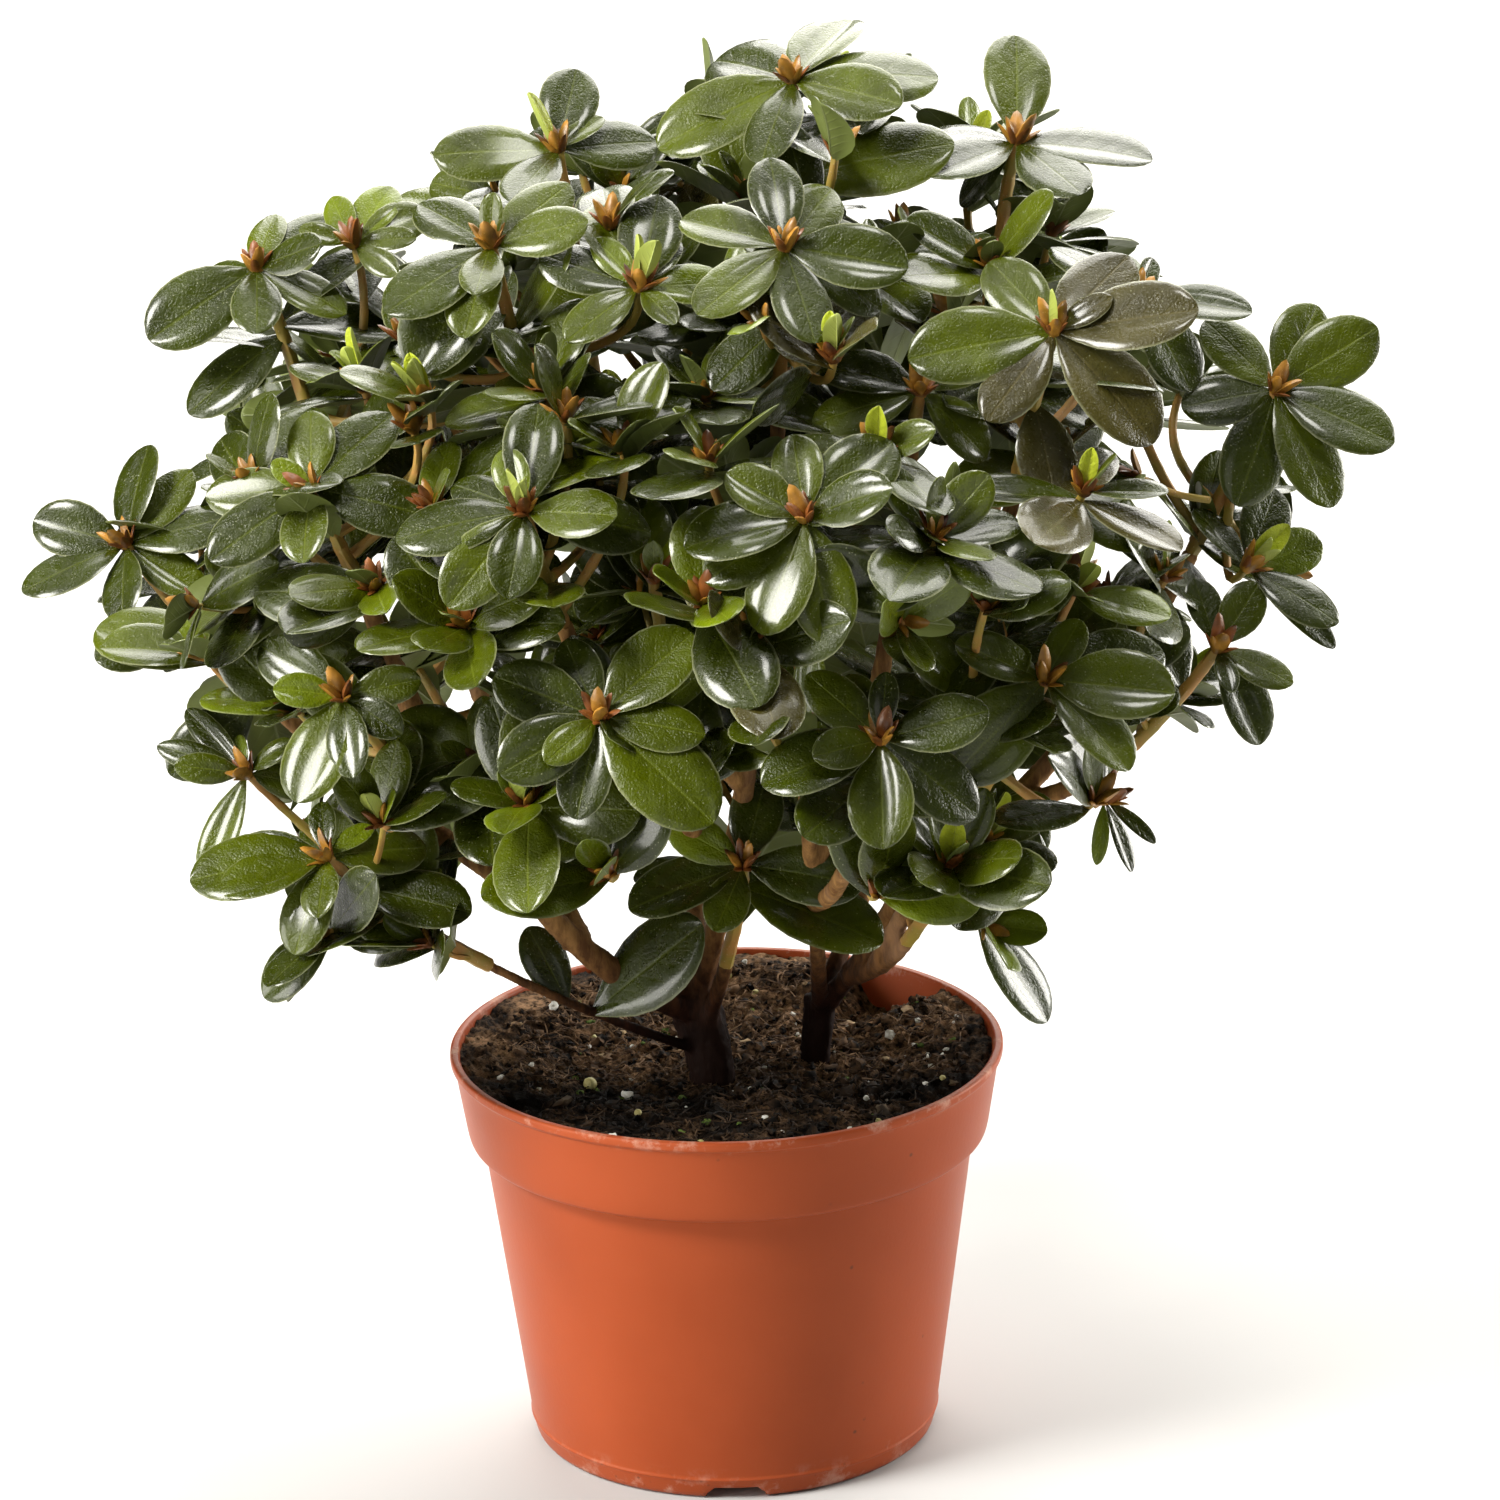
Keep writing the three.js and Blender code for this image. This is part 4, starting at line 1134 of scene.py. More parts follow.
def blade_material(name, color, vein_color, roughness, coat, relief, flecks_share):
    """Green with a paler midrib and margin, a wax gloss, and a surface of fine grains and pores."""
    material, tree, shader = new_material(name)
    lines = use_group(tree, veins, Side_Veins=6.0, Sharpness=0.13)
    base = use_group(tree, mottle, Color=(*color, 1), Scale=70.0, Amount=0.8)
    specks = use_group(tree, flecks, Scale=1500.0, Share=0.16)
    toned = blend(tree, times(tree, lines.outputs["Mask"], 0.42), base.outputs["Color"], vein_color)
    edged = blend(tree, times(tree, lines.outputs["Margin"], 0.42), toned, MARGIN_COLOR)
    dusty = blend(tree, times(tree, specks.outputs[0], flecks_share), edged, HAIR_COLOR)
    place = on_object(tree)
    grain = grainy(tree, place, 330.0, 3.0)
    pores = grainy(tree, place, 1900.0, 2.0)
    rough = spread(tree, grain, 0.3, 0.7, roughness - 0.05, roughness + 0.10)
    setting(shader, Specular_IOR_Level=0.2, Coat_Weight=coat, Coat_Roughness=0.16)
    wavy = bumpy(tree, grain, 0.4, 0.0007, under=bumpy(tree, pores, 0.65, 0.0004))
    normal = bumpy(tree, lines.outputs["Height"], relief, 0.0005, under=wavy)
    feed(tree, shader, Base_Color=dusty, Roughness=rough, Normal=normal)
    return material


# what it is called, colour, colour of the veins, roughness, coat, relief of the veins, share of flecks
LEAF_ROWS = {
    "deep": ("leaf_deep_green", (0.022, 0.030, 0.0001), (0.09, 0.11, 0.009), 0.26, 0.54, 0.36, 0.45),
    "mid": ("leaf_mid_green", (0.046, 0.060, 0.0002), (0.13, 0.16, 0.012), 0.28, 0.48, 0.36, 0.4),
    "fresh": ("leaf_fresh_green", (0.088, 0.117, 0.001), (0.19, 0.24, 0.02), 0.3, 0.42, 0.32, 0.3),
    "bronze": ("leaf_bronze", (0.040, 0.034, 0.006), (0.11, 0.09, 0.03), 0.26, 0.54, 0.36, 0.45),
    "young": ("leaf_young", (0.33, 0.38, 0.022), (0.44, 0.46, 0.10), 0.4, 0.15, 0.4, 0.1),
}
LEAF_LOOKS = {kind: blade_material(*row) for kind, row in LEAF_ROWS.items()}
print("upper faces:", list(LEAF_LOOKS))


# %% The lower face of a leaf
def back_material(name, color):
    """Pale and matt, with the midrib standing out."""
    material, tree, shader = new_material(name)
    lines = use_group(tree, veins, Side_Veins=7.0, Sharpness=0.14)
    base = use_group(tree, mottle, Color=(*color, 1), Scale=90.0, Amount=0.35)
    ribbed = times(tree, lines.outputs["Mask"], 0.35)
    toned = blend(tree, ribbed, base.outputs["Color"], (0.35, 0.38, 0.2))
    rough = spread(tree, base.outputs["Value"], 0.0, 1.0, 0.45, 0.6)
    normal = bumpy(tree, lines.outputs["Mask"], 0.5, 0.0005)
    feed(tree, shader, Base_Color=toned, Roughness=rough, Normal=normal)
    return material


pale_back = back_material("leaf_back", (0.105, 0.130, 0.024))
young_back = back_material("young_leaf_back", (0.3, 0.35, 0.06))
print("lower faces:", pale_back.name, young_back.name)

# %% Join the leaves by colour
MOST_LEAVES = 800  # in one piece, to keep it under 200,000 triangles
for kind, shapes in blades.items():
    for part, start in enumerate(range(0, len(shapes), MOST_LEAVES)):
        some = np.array(shapes[start : start + MOST_LEAVES])
        offsets = np.arange(len(some)) * some.shape[1]
        quads = (LEAF_QUADS[None] + offsets[:, None, None]).reshape(-1, 4)
        piece(
            f"leaves_{kind}_{part + 1}",
            some.reshape(-1, 3),
            [quads],
            [LEAF_LOOKS[kind], young_back if kind == "young" else pale_back],
            foliage_nodes,
            face_slots=np.tile(LEAF_SLOTS, len(some)),
            uv=np.tile(LEAF_UV, (len(some), 1)),
            sharp=70,
        )

# %% [markdown]
# ## Bud material and twig material
# Bud scales are rusty at the base and paler at the point, and a little sticky, so they shine. Young
# twigs are green-brown and hairy where they are fresh, and turn to orange-brown wood further down.

# %% Bud scales as one piece
def bud_material(name, color, hair):
    material, tree, shader = new_material(name)
    specks = use_group(tree, flecks, Scale=1800.0, Share=0.3)
    tint = use_group(tree, mottle, Color=(*color, 1), Scale=240.0, Amount=1.3)
    hairy = blend(tree, times(tree, specks.outputs[0], 0.4), tint.outputs["Color"], hair)
    rough = spread(tree, tint.outputs["Value"], 0.0, 1.0, 0.3, 0.5)
    normal = bumpy(tree, tint.outputs["Value"], 0.4, 0.0004)
    feed(tree, shader, Base_Color=hairy, Roughness=rough, Normal=normal)
    return material


rusty = bud_material("bud_scale_rusty", (0.145, 0.045, 0.007), (0.38, 0.22, 0.09))
tan = bud_material("bud_scale_golden", (0.27, 0.125, 0.013), (0.50, 0.36, 0.13))

scales = np.array(scales)
scale_quads, scale_caps = ring_faces(SCALE_RINGS, SCALE_SIDES)
offsets = (np.arange(len(scales)) * scales.shape[1])[:, None, None]
golden_faces = [np.repeat(golden, len(scale_quads)), np.repeat(golden, len(scale_caps))]
piece(
    "bud_scales",
    scales.reshape(-1, 3),
    [(scale_quads[None] + offsets).reshape(-1, 4), (scale_caps[None] + offsets).reshape(-1, 3)],
    [rusty, tan],
    foliage_nodes,
    face_slots=np.concatenate(golden_faces),
)


# %% Twigs as tubes
def tube(line, radius_at, sides, spacing, ends=0.4):
    """Corners and faces of a closed round tube along a line, with a frame carried along it."""
    count = max(3, int(line.length / spacing) + 1)
    share = np.linspace(0, 1, count)
    centre = line.at(share)
    tangent = np.gradient(centre, axis=0)
    tangent /= np.linalg.norm(tangent, axis=1)[:, None]
    helper = [0.31, 0.17, 1.0] if abs(tangent[0][2]) < 0.9 else [1.0, 0.2, 0.1]
    normal = unit(np.cross(tangent[0], helper))
    rings = []
    for k in range(count):
        normal = unit(normal - tangent[k] * (normal @ tangent[k]))
        binormal = np.cross(tangent[k], normal)
        a = np.arange(sides) * FULL_TURN / sides
        r = radius_at(share[k], a)
        rings.append(centre[k] + (np.cos(a) * r)[:, None] * normal + (np.sin(a) * r)[:, None] * binormal)
    caps = [centre[0] - tangent[0] * ends, centre[-1] + tangent[-1] * ends]
    return np.concatenate(rings + [np.array(caps)]), *ring_faces(count, sides)


def join(parts):
    verts, quads, tris, base = [], [], [], 0
    for v, q, t in parts:
        verts.append(v)
        quads.append(q + base)
        tris.append(t + base)
        base += len(v)
    return np.concatenate(verts), [np.concatenate(quads), np.concatenate(tris)]


sample, _, _ = tube(bend((0, 0, 0), (0, 0, 10)), lambda share, a: 1 + 0 * a, 8, 1.6)
print("a tube of 10 mm:", len(sample), "vertices")

# %% Twigs
# Radii at the foot and the tip of the leading and of the thin shoots. Other shoots follow the rule.
TWIG_RADII = {STEM_RADIUS: (STEM_RADIUS, 1.35), THIN_RADIUS: (THIN_RADIUS, 0.55)}
KNOT_SPACING = 6.5
twig_parts = []
for shoot in shoots:
    r0, r1 = TWIG_RADII.get(shoot.radius, (0.8 * shoot.radius, 0.95 * shoot.vigour))
    phase = luck.uniform(0, 6)

    def knobbly(share, a, r0=r0, r1=r1, phase=phase, long=shoot.line.length):
        swell = max(0.0, math.sin(share * long / KNOT_SPACING * FULL_TURN + phase))
        ribs = 1 + 0.05 * np.sin(3 * a + share * 9)
        return (r0 + (r1 - r0) * share) * (1 + 0.12 * swell**3) * ribs

    twig_parts.append(tube(shoot.line, knobbly, 8, 1.6))
twig_verts, twig_faces = join(twig_parts)
print("twigs:", len(twig_parts))

# %% Young bark
twig_look, tree, shader = new_material("young_bark")
streaks = grainy(tree, on_object(tree), 130.0, 4.0)
specks = use_group(tree, flecks, Scale=1600.0, Share=0.3)
woody = blend(tree, spread(tree, streaks, 0.42, 0.6), (0.25, 0.180, 0.024), (0.36, 0.175, 0.036))
hairy = blend(tree, times(tree, specks.outputs[0], 0.5), woody, (0.45, 0.33, 0.2))
rough = spread(tree, streaks, 0.3, 0.7, 0.5, 0.7)
normal = bumpy(tree, specks.outputs[0], 0.5, 0.0003)
feed(tree, shader, Base_Color=hairy, Roughness=rough, Normal=normal)
piece("twigs", twig_verts, twig_faces, [twig_look], foliage_nodes)

# %% [markdown]
# ## Trunks and boughs
# Old azalea wood is reddish-brown, with bark that comes off in thin strips along the limb. Separate
# tubes would show a hard line at every fork, so the limbs are first overlapped with a swelling at
# each fork, then melted into one skin with a voxel remesh, as clay would be. Only then is the bark
# raised: its ridges follow the limb, because the noise is stretched along the nearest limb's own
# direction. The boughs that leave the trunks are in full sight and a little slimmer than the solids,
# and the low one at the left is a thin rod.

# %% Limbs with swollen forks
THIN_BOUGHS = {"lower_left": (1.25, 1.15)}
TRUNK_IN_SOIL = 4
parts = []
for name, (line, r0, r1, parent) in limbs.items():
    trunk = parent is None
    reach = 9.0 if trunk else limbs[parent][1] + 4.0
    if parent in TRUNKS:
        r0, r1 = THIN_BOUGHS.get(name, (0.8 * r0, 0.9 * r1))

    def swollen(share, a, r0=r0, r1=r1, long=line.length, trunk=trunk, reach=reach):
        base = r0 + (r1 - r0) * (share if trunk else share**0.8)
        flare = -0.12 * math.exp(-share * 3) if trunk else 0.22 * math.exp(-((share * long / reach) ** 2))
        lobes = 1 + (0.12 * np.cos(3 * a + 1 + 2 * share) + 0.05 * np.cos(5 * a) if trunk else 0)
        return base * (1 + flare) * lobes

    if trunk:
        line = Line(np.concatenate([[line.at(0) - UP * TRUNK_IN_SOIL], line.points]))
    parts.append(tube(line, swollen, 16, 1.2))
verts, faces = join(parts)
wood = piece("trunks_and_boughs", verts, faces, [], limb_nodes)

# %% Melt the forks together
remesh = wood.modifiers.new("melt", "REMESH")
remesh.mode = "VOXEL"
remesh.voxel_size = 0.00075
smooth = wood.modifiers.new("soften", "SMOOTH")
smooth.factor = 0.5
smooth.iterations = 3
melted = with_modifiers(wood)


def read_vectors(mesh, what):
    values = np.zeros(len(mesh.vertices) * 3, np.float32)
    mesh.vertices.foreach_get(what, values)
    return values.reshape(-1, 3)


co, normals = read_vectors(melted, "co") * MM, read_vectors(melted, "normal")
print("melted wood:", len(co), "vertices,", len(melted.polygons), "faces")

# %% Raise the bark along each limb
axis_points = np.concatenate([limb[0].points[::3] for limb in limbs.values()])
axis_ways = np.concatenate([np.gradient(limb[0].points, axis=0)[::3] for limb in limbs.values()])
axis_ways /= np.linalg.norm(axis_ways, axis=1)[:, None]
CHUNK = 4000  # vertices measured at once, to spare memory
nearest = np.concatenate([
    np.linalg.norm(some[:, None] - axis_points[None], axis=2).argmin(1)
    for some in np.array_split(co, len(co) // CHUNK + 1)
])
ways = axis_ways[nearest]
lengthwise = (co * ways).sum(1)[:, None] * ways
stretched = (co - lengthwise) * 0.55 + lengthwise * 0.12
relief = np.array([
    noise.fractal(Vector(p), 0.7, 2.1, 3) + 0.7 * abs(noise.noise(Vector(p * 0.45 + 7.0)))
    for p in stretched
])
thickness = np.linalg.norm(co - axis_points[nearest], axis=1)
depth = np.clip(thickness * 0.085, 0.12, 0.6)
co = co + normals * (relief * depth)[:, None]
melted.vertices.foreach_set("co", (co / MM).astype(np.float32).ravel())
melted.update()
shade_smooth(melted)
print("bark relief up to", round(float((relief * depth).max()), 2), "mm")

# %% [markdown]
# Bark colour goes with its shape: flakes that stand out are paler and greyer, the cracks between
# them are dark red-brown, and each trunk is nearly black towards its foot, just above the soil.

# %% Bark material
bark_look, tree, shader = new_material("old_bark")
place = on_object(tree)
drawn_out = wire(tree, "ShaderNodeMapping", {"Vector": place, "Scale": (1.0, 1.0, 0.22)}).outputs[0]
plates = grainy(tree, drawn_out, 420.0, 5.0, 0.65)
broad = grainy(tree, drawn_out, 90.0, 3.0)
high = wire(tree, "ShaderNodeSeparateXYZ", {0: place}).outputs[2]
old = blend(tree, spread(tree, plates, 0.40, 0.66), (0.020, 0.006, 0.003), (0.13, 0.042, 0.018))
newer = blend(tree, spread(tree, plates, 0.36, 0.62), (0.12, 0.053, 0.018), (0.29, 0.155, 0.052))
tone = blend(tree, spread(tree, high, 0.108, 0.140), old, newer)
grey = blend(tree, spread(tree, broad, 0.55, 0.74, 0.0, 0.4), tone, (0.27, 0.16, 0.10))
# darker towards the bottom of each trunk, just above the soil
darkened_foot = blend(tree, spread(tree, high, 0.104, 0.128, 0.97, 0.0), grey, (0.007, 0.002, 0.001))
rough = spread(tree, plates, 0.3, 0.7, 0.6, 0.85)
setting(shader, Specular_IOR_Level=0.1)
feed(tree, shader, Base_Color=darkened_foot, Roughness=rough, Normal=bumpy(tree, plates, 0.7, 0.0008))
melted.materials.append(bark_look)
print("old_bark:", len(tree.nodes), "nodes")

# %% [markdown]
# ## The pot
# The pot is injection-moulded: a thin wall, a deep band under the rim that makes it stiff and lets
# pots be lifted out of each other, and a foot ring with notches for water. A round thing with one
# wall thickness is a turned profile, so its outline is written once as radius and height and swept
# round the axis. The notches are made in the sweep: where one comes, the foot's lowest rings are
# lifted.

# %% The pot's profile
RIM, BAND_FOOT, BODY_TOP, FOOT = 65.0, 61.4, 57.8, 47.9  # outer radii, from the top down
HEIGHT, BAND = 96.0, 96.0 - 21.4  # of the rim, and of the lower edge of the band
FLOOR, WALL = 3.2, 1.5


def rounded(corners, radii, steps=5):
    """A chain of [radius, height] corners with each corner rounded off."""
    out = []
    for i, (corner, r) in enumerate(zip(corners, radii)):
        p = np.array(corner, float)
        if r == 0:
            out.append(p)
            continue
        a, b = np.array(corners[i - 1], float), np.array(corners[(i + 1) % len(corners)], float)
        ra = min(r, np.linalg.norm(a - p) * 0.45)
        rb = min(r, np.linalg.norm(b - p) * 0.45)
        start, end = p + unit(a - p) * ra, p + unit(b - p) * rb
        for t in np.linspace(0, 1, steps):
            out.append((1 - t) ** 2 * start + 2 * t * (1 - t) * p + t**2 * end)
    return np.array(out)


# Corners of the wall, from under the foot up the outside and down the inside, each with its rounding.
corners_round = [
    ((FOOT - 5, FLOOR), 0.4), ((FOOT - 5, 0), 0.5),
    ((FOOT - 0.8, 0), 1.9), ((FOOT + 0.45, 4.6), 0.4),
    ((FOOT + 0.8, 5.2), 0.4), ((FOOT + 0.5, 5.8), 0.5),
    ((BODY_TOP, BAND - 0.3), 0.5), ((BAND_FOOT - 0.6, BAND + 0.3), 1.4),
    ((BAND_FOOT, BAND + 2.4), 1.2), ((RIM - 0.9, HEIGHT - 2.6), 0.5),
    ((RIM, HEIGHT - 2.0), 0.5), ((RIM, HEIGHT), 0.7),
    ((RIM - WALL - 0.6, HEIGHT), 0.7), ((RIM - WALL - 0.9, HEIGHT - 2), 0.5),
    ((BAND_FOOT - WALL, BAND + 3.2), 1.0), ((BODY_TOP - WALL, BAND + 0.4), 1.0),
    ((FOOT - WALL, FLOOR + WALL), 1.6),
]
LONGEST_STEP = 3.0
corners = rounded(*zip(*corners_round))
dense = [corners[0]]
for p in corners[1:]:
    steps = max(1, int(np.linalg.norm(p - dense[-1]) / LONGEST_STEP))
    dense += [dense[-1] + (p - dense[-1]) * (k + 1) / steps for k in range(steps)]
profile = np.array(dense)
print("pot profile:", len(profile), "points")

# %% Sweep the pot and lift its notches
SEGMENTS = 240
NOTCH_HEIGHT, NOTCH_HALF, NOTCH_SLOPE = 3.0, 7.2, 1.4
THIRD = FULL_TURN / 3  # notches and drain holes come three times round
angle = np.arange(SEGMENTS) * FULL_TURN / SEGMENTS
from_notch = np.abs((angle + math.pi / 2) % THIRD)
from_notch = np.minimum(from_notch, THIRD - from_notch) * FOOT
notch = NOTCH_HEIGHT * np.clip((NOTCH_HALF - from_notch) / NOTCH_SLOPE, 0, 1)
rings = []
for radius, height in profile:
    in_foot = height < NOTCH_HEIGHT + 0.1 and radius > FOOT - 6
    rings.append(circle(radius, np.maximum(height, notch if in_foot else 0 * notch), angle))
verts = np.concatenate(rings + [np.array([[0, 0, FLOOR], [0, 0, FLOOR + WALL]])])
quads, caps = ring_faces(len(profile), SEGMENTS)
pot = piece("pot_shell", verts, [quads, caps], [], ["pot"], sharp=35)

# %% Drain holes
HOLE_CIRCLE, HOLE_RADIUS, PAST_FLOOR = 30, 4.5, 3
for i in range(3):
    a = -math.pi / 2 + (i + 0.5) * FULL_TURN / 3
    x, y = HOLE_CIRCLE * math.cos(a), HOLE_CIRCLE * math.sin(a)
    line = Line([[x, y, FLOOR - PAST_FLOOR], [x, y, FLOOR + WALL + PAST_FLOOR]])
    v, q, t = tube(line, lambda share, a: HOLE_RADIUS + 0 * a, 32, 3.0, ends=0)
    mesh = bpy.data.meshes.new("drill")
    mesh.from_pydata((v / MM).tolist(), [], q.tolist() + t.tolist())
    drill = add_to_scene("drill", mesh)
    cut = pot.modifiers.new("drain", "BOOLEAN")
    cut.object, cut.operation, cut.solver = drill, "DIFFERENCE", "EXACT"
    with_modifiers(pot)
    bpy.data.objects.remove(drill)
shade_smooth(pot.data)
pot.data.set_sharp_from_angle(angle=math.radians(35))
print("pot faces:", len(pot.data.polygons))

# %% [markdown]
# The plastic is an even terracotta orange. It looks real through what has happened to it: a soft
# sheen that is duller where it has been handled, tiny pits, dark specks of soil round the foot and
# on the body, and pale scuffs along the rim and the foot.

# %% Pot material
pot_look, tree, shader = new_material("terracotta_plastic")
place = on_object(tree)
soft, fine = grainy(tree, place, 22.0, 4.0), grainy(tree, place, 900.0, 2.0)
smears = grainy(tree, place, 150.0, 6.0, 0.7)
high = wire(tree, "ShaderNodeSeparateXYZ", {0: place}).outputs[2]
near_rim, near_foot = spread(tree, high, 0.0925, 0.0955), spread(tree, high, 0.0085, 0.0015)

body = blend(tree, spread(tree, soft, 0.35, 0.65), (0.285, 0.053, 0.016), (0.325, 0.063, 0.020))
worn = maths(tree, "MAXIMUM", near_rim, times(tree, near_foot, 0.8))
scuff = times(tree, spread(tree, smears, 0.52, 0.66), worn)
scuffed = blend(tree, times(tree, scuff, 0.5), body, (0.62, 0.42, 0.33))
dirt = use_group(tree, flecks, Scale=430.0, Share=0.016).outputs[0]
foot_dirt = use_group(tree, flecks, Scale=600.0, Share=0.35).outputs[0]
on_foot = times(tree, foot_dirt, times(tree, near_foot, 0.9))
everywhere = maths(tree, "MAXIMUM", times(tree, dirt, 0.8), on_foot)
dirty = times(tree, everywhere, spread(tree, smears, 0.44, 0.56))
color = blend(tree, dirty, scuffed, (0.09, 0.035, 0.02))
sheen = maths(tree, "ADD", spread(tree, soft, 0.3, 0.7, 0.34, 0.44), times(tree, scuff, 0.25))
feed(tree, shader, Base_Color=color, Roughness=sheen, Normal=bumpy(tree, fine, 0.12, 0.0002))
setting(shader, Specular_IOR_Level=0.13, Specular_Tint=(1.0, 0.85, 0.7, 1))
setting(shader, Subsurface_Weight=0.1, Subsurface_Radius=(0.004, 0.0015, 0.0006))
pot.data.materials.clear()
pot.data.materials.append(pot_look)
print("terracotta_plastic:", len(tree.nodes), "nodes")

# %% [markdown]
# ## The soil
# Potting mix is fibrous peat with hummocks and hollows, so the surface is a fine polar grid that is
# raised by layers of noise. It banks up to the rim at the back and the left, lies lower at the front,
# and leaves a bare hollow at the back right where the pot's wall shows. A noise surface alone looks
# like a moon, so crumbs, fibres, white perlite and yellow feed grains are scattered on it as real
# small meshes.

# %% The soil's height
# Layers of hummocks: how high, and how fine.
HUMMOCKS = [(1.7, 1.0), (1.4, 2.7), (1.3, 6.5), (0.9, 14), (0.6, 30), (0.45, 55)]
# How high the soil banks up at the wall, by the angle round the pot in degrees from the right.
BANKS = [
    (0, 3.0), (12, 4.8), (34, 4.8), (42, -4.5), (54, -4.5), (64, 5.6),
    (150, 5.6), (190, 4.6), (225, 1.2), (330, 1.2), (360, 3.0),
]
BANK_ANGLES, BANK_HEIGHTS = zip(*BANKS)
BANK_START, BANK_WIDTH = 30, 27
TRUNK_FEET = [row["foot"] for row in TRUNKS.values()]


def soil_height(x, y):
    p = Vector((x * 0.045, y * 0.045, 3.0))
    h = sum(high * noise.noise(p * fine) for high, fine in HUMMOCKS)
    around = math.degrees(math.atan2(y, x)) % 360
    rise = np.clip((math.hypot(x, y) - BANK_START) / BANK_WIDTH, 0, 1)
    h += np.interp(around, BANK_ANGLES, BANK_HEIGHTS) * rise * rise * (3 - 2 * rise)
    for fx, fy in TRUNK_FEET:
        h += 1.3 * math.exp(-(((x - fx) / 10) ** 2 + ((y - fy) / 10) ** 2))
    just_under_rim = 5.6 + 0.3 * math.sin(x * 1.3) * math.cos(y * 1.7)
    return SOIL_LEVEL + min(h, just_under_rim)


print("soil at the middle:", round(soil_height(0, 0), 1), "mm above the ground")


# %% The soil's surface
def pot_inner_radius(z):
    """Radius of the pot's inside in its band, and of the narrower body below it."""
    low, high = BAND + 3.2, HEIGHT - 2
    if z <= low:
        return BODY_TOP - WALL
    t = (min(z, high) - low) / (high - low)
    return BAND_FOOT - WALL + (RIM - 0.9 - BAND_FOOT) * t


SOIL_SEGMENTS, SOIL_RINGS = 420, 115
WALL_GAP = 0.35  # between the soil and the pot
BOTTOM = FLOOR + WALL + 0.4
angle = np.arange(SOIL_SEGMENTS) * FULL_TURN / SOIL_SEGMENTS
edge = pot_inner_radius(SOIL_LEVEL) - WALL_GAP
sides = [
    (BOTTOM, FOOT - WALL - 2.2),
    (BAND - 2, BODY_TOP - WALL - 0.6),
    (BAND + 4, BAND_FOOT - WALL - 0.5),
    (SOIL_LEVEL - 9, pot_inner_radius(SOIL_LEVEL - 9) - 0.4),
]
rings = [circle(r, np.full(SOIL_SEGMENTS, z), angle) for z, r in sides]
for k in range(SOIL_RINGS):
    r = edge * (1 - k / SOIL_RINGS) + 0.4
    ring = circle(r, np.zeros(SOIL_SEGMENTS), angle)
    ring[:, 2] = [soil_height(x, y) for x, y, _ in ring]
    wall = np.array([pot_inner_radius(z) for z in ring[:, 2]]) - WALL_GAP
    ring[:, :2] *= (1 + (wall / edge - 1) * (r / edge) ** 6)[:, None]
    rings.append(ring)
soil_verts = np.concatenate(rings + [np.array([[0, 0, BOTTOM], [0, 0, soil_height(0, 0)]])])
soil_faces = ring_faces(len(rings), SOIL_SEGMENTS)
print("soil's surface:", len(soil_verts), "vertices")

# %% [markdown]
# Peat is pale brown where it has dried. Toward the front, in clouds, the soil and all that lies on it
# are painted nearly black, a painted shade for the crown's shadow. The surface, the crumbs, the chips
# and the fibres all need that same shade, so it is a node group that takes a colour and shades it.

# %% Painted shade toward the front
painted_front_shade, front_shade_in, front_shade_out = new_group(
    "painted_front_shade", [("Color", COLOR, (0.1, 0.06, 0.03, 1))], [("Color", COLOR)]
)
# painted shade: the colour the soil's front is darkened to, for the crown's shadow
PAINTED_SHADE_COLOR = (0.0015, 0.0009, 0.0005)
place = on_object(painted_front_shade)
toward_front = wire(painted_front_shade, "ShaderNodeSeparateXYZ", {0: place}).outputs[1]
# painted shade: strongest at the front of the pot, broken into clouds by noise
front = spread(painted_front_shade, toward_front, 0.004, -0.016, 0.0, 0.95)
clouds = spread(painted_front_shade, grainy(painted_front_shade, place, 75.0, 3.0), 0.66, 0.42, 0.6, 1.0)
painted_shade = times(painted_front_shade, front, clouds)
shaded = blend(painted_front_shade, painted_shade, front_shade_in.outputs["Color"], PAINTED_SHADE_COLOR)
painted_front_shade.links.new(shaded, front_shade_out.inputs["Color"])
print("painted_front_shade:", len(painted_front_shade.nodes), "nodes")

# %% Soil material
soil_look, tree, shader = new_material("peat")
place = on_object(tree)
crumbs, broad = grainy(tree, place, 480.0, 6.0, 0.7), grainy(tree, place, 70.0, 3.0)
tone = blend(tree, spread(tree, crumbs, 0.44, 0.64), (0.004, 0.002, 0.001), (0.10, 0.056, 0.030))
light = blend(tree, spread(tree, crumbs, 0.38, 0.58), (0.025, 0.014, 0.007), (0.50, 0.29, 0.155))
unshaded_peat = blend(tree, spread(tree, broad, 0.40, 0.60, 0.0, 0.8), tone, light)
# painted shade toward the front, for the crown's shadow on the soil
color = use_group(tree, painted_front_shade, Color=unshaded_peat).outputs[0]
rough = spread(tree, broad, 0.3, 0.7, 0.85, 0.95)
feed(tree, shader, Base_Color=color, Roughness=rough, Normal=bumpy(tree, crumbs, 1.0, 0.0016))
setting(shader, Specular_IOR_Level=0.12)
piece("soil_surface", soil_verts, soil_faces, [soil_look], ["soil"])

# %% A ball for the small lumps
ball = bmesh.new()
bmesh.ops.create_icosphere(ball, subdivisions=2, radius=1.0)
ball_verts = np.array([v.co[:] for v in ball.verts])
ball_faces = np.array([[v.index for v in f.verts] for f in ball.faces])
ball.free()
print("ball:", len(ball_verts), "vertices")

# %% Scatter lumps on the soil
LUMPS_REACH, LUMPS_SINK = 57.0, 0.3
TRUNK_ROOM = [6, 4]  # kept free round each trunk's foot


def on_trunk(x, y, size):
    rooms = zip(TRUNK_FEET, TRUNK_ROOM)
    return min(math.hypot(x - fx, y - fy) - room for (fx, fy), room in rooms) < size


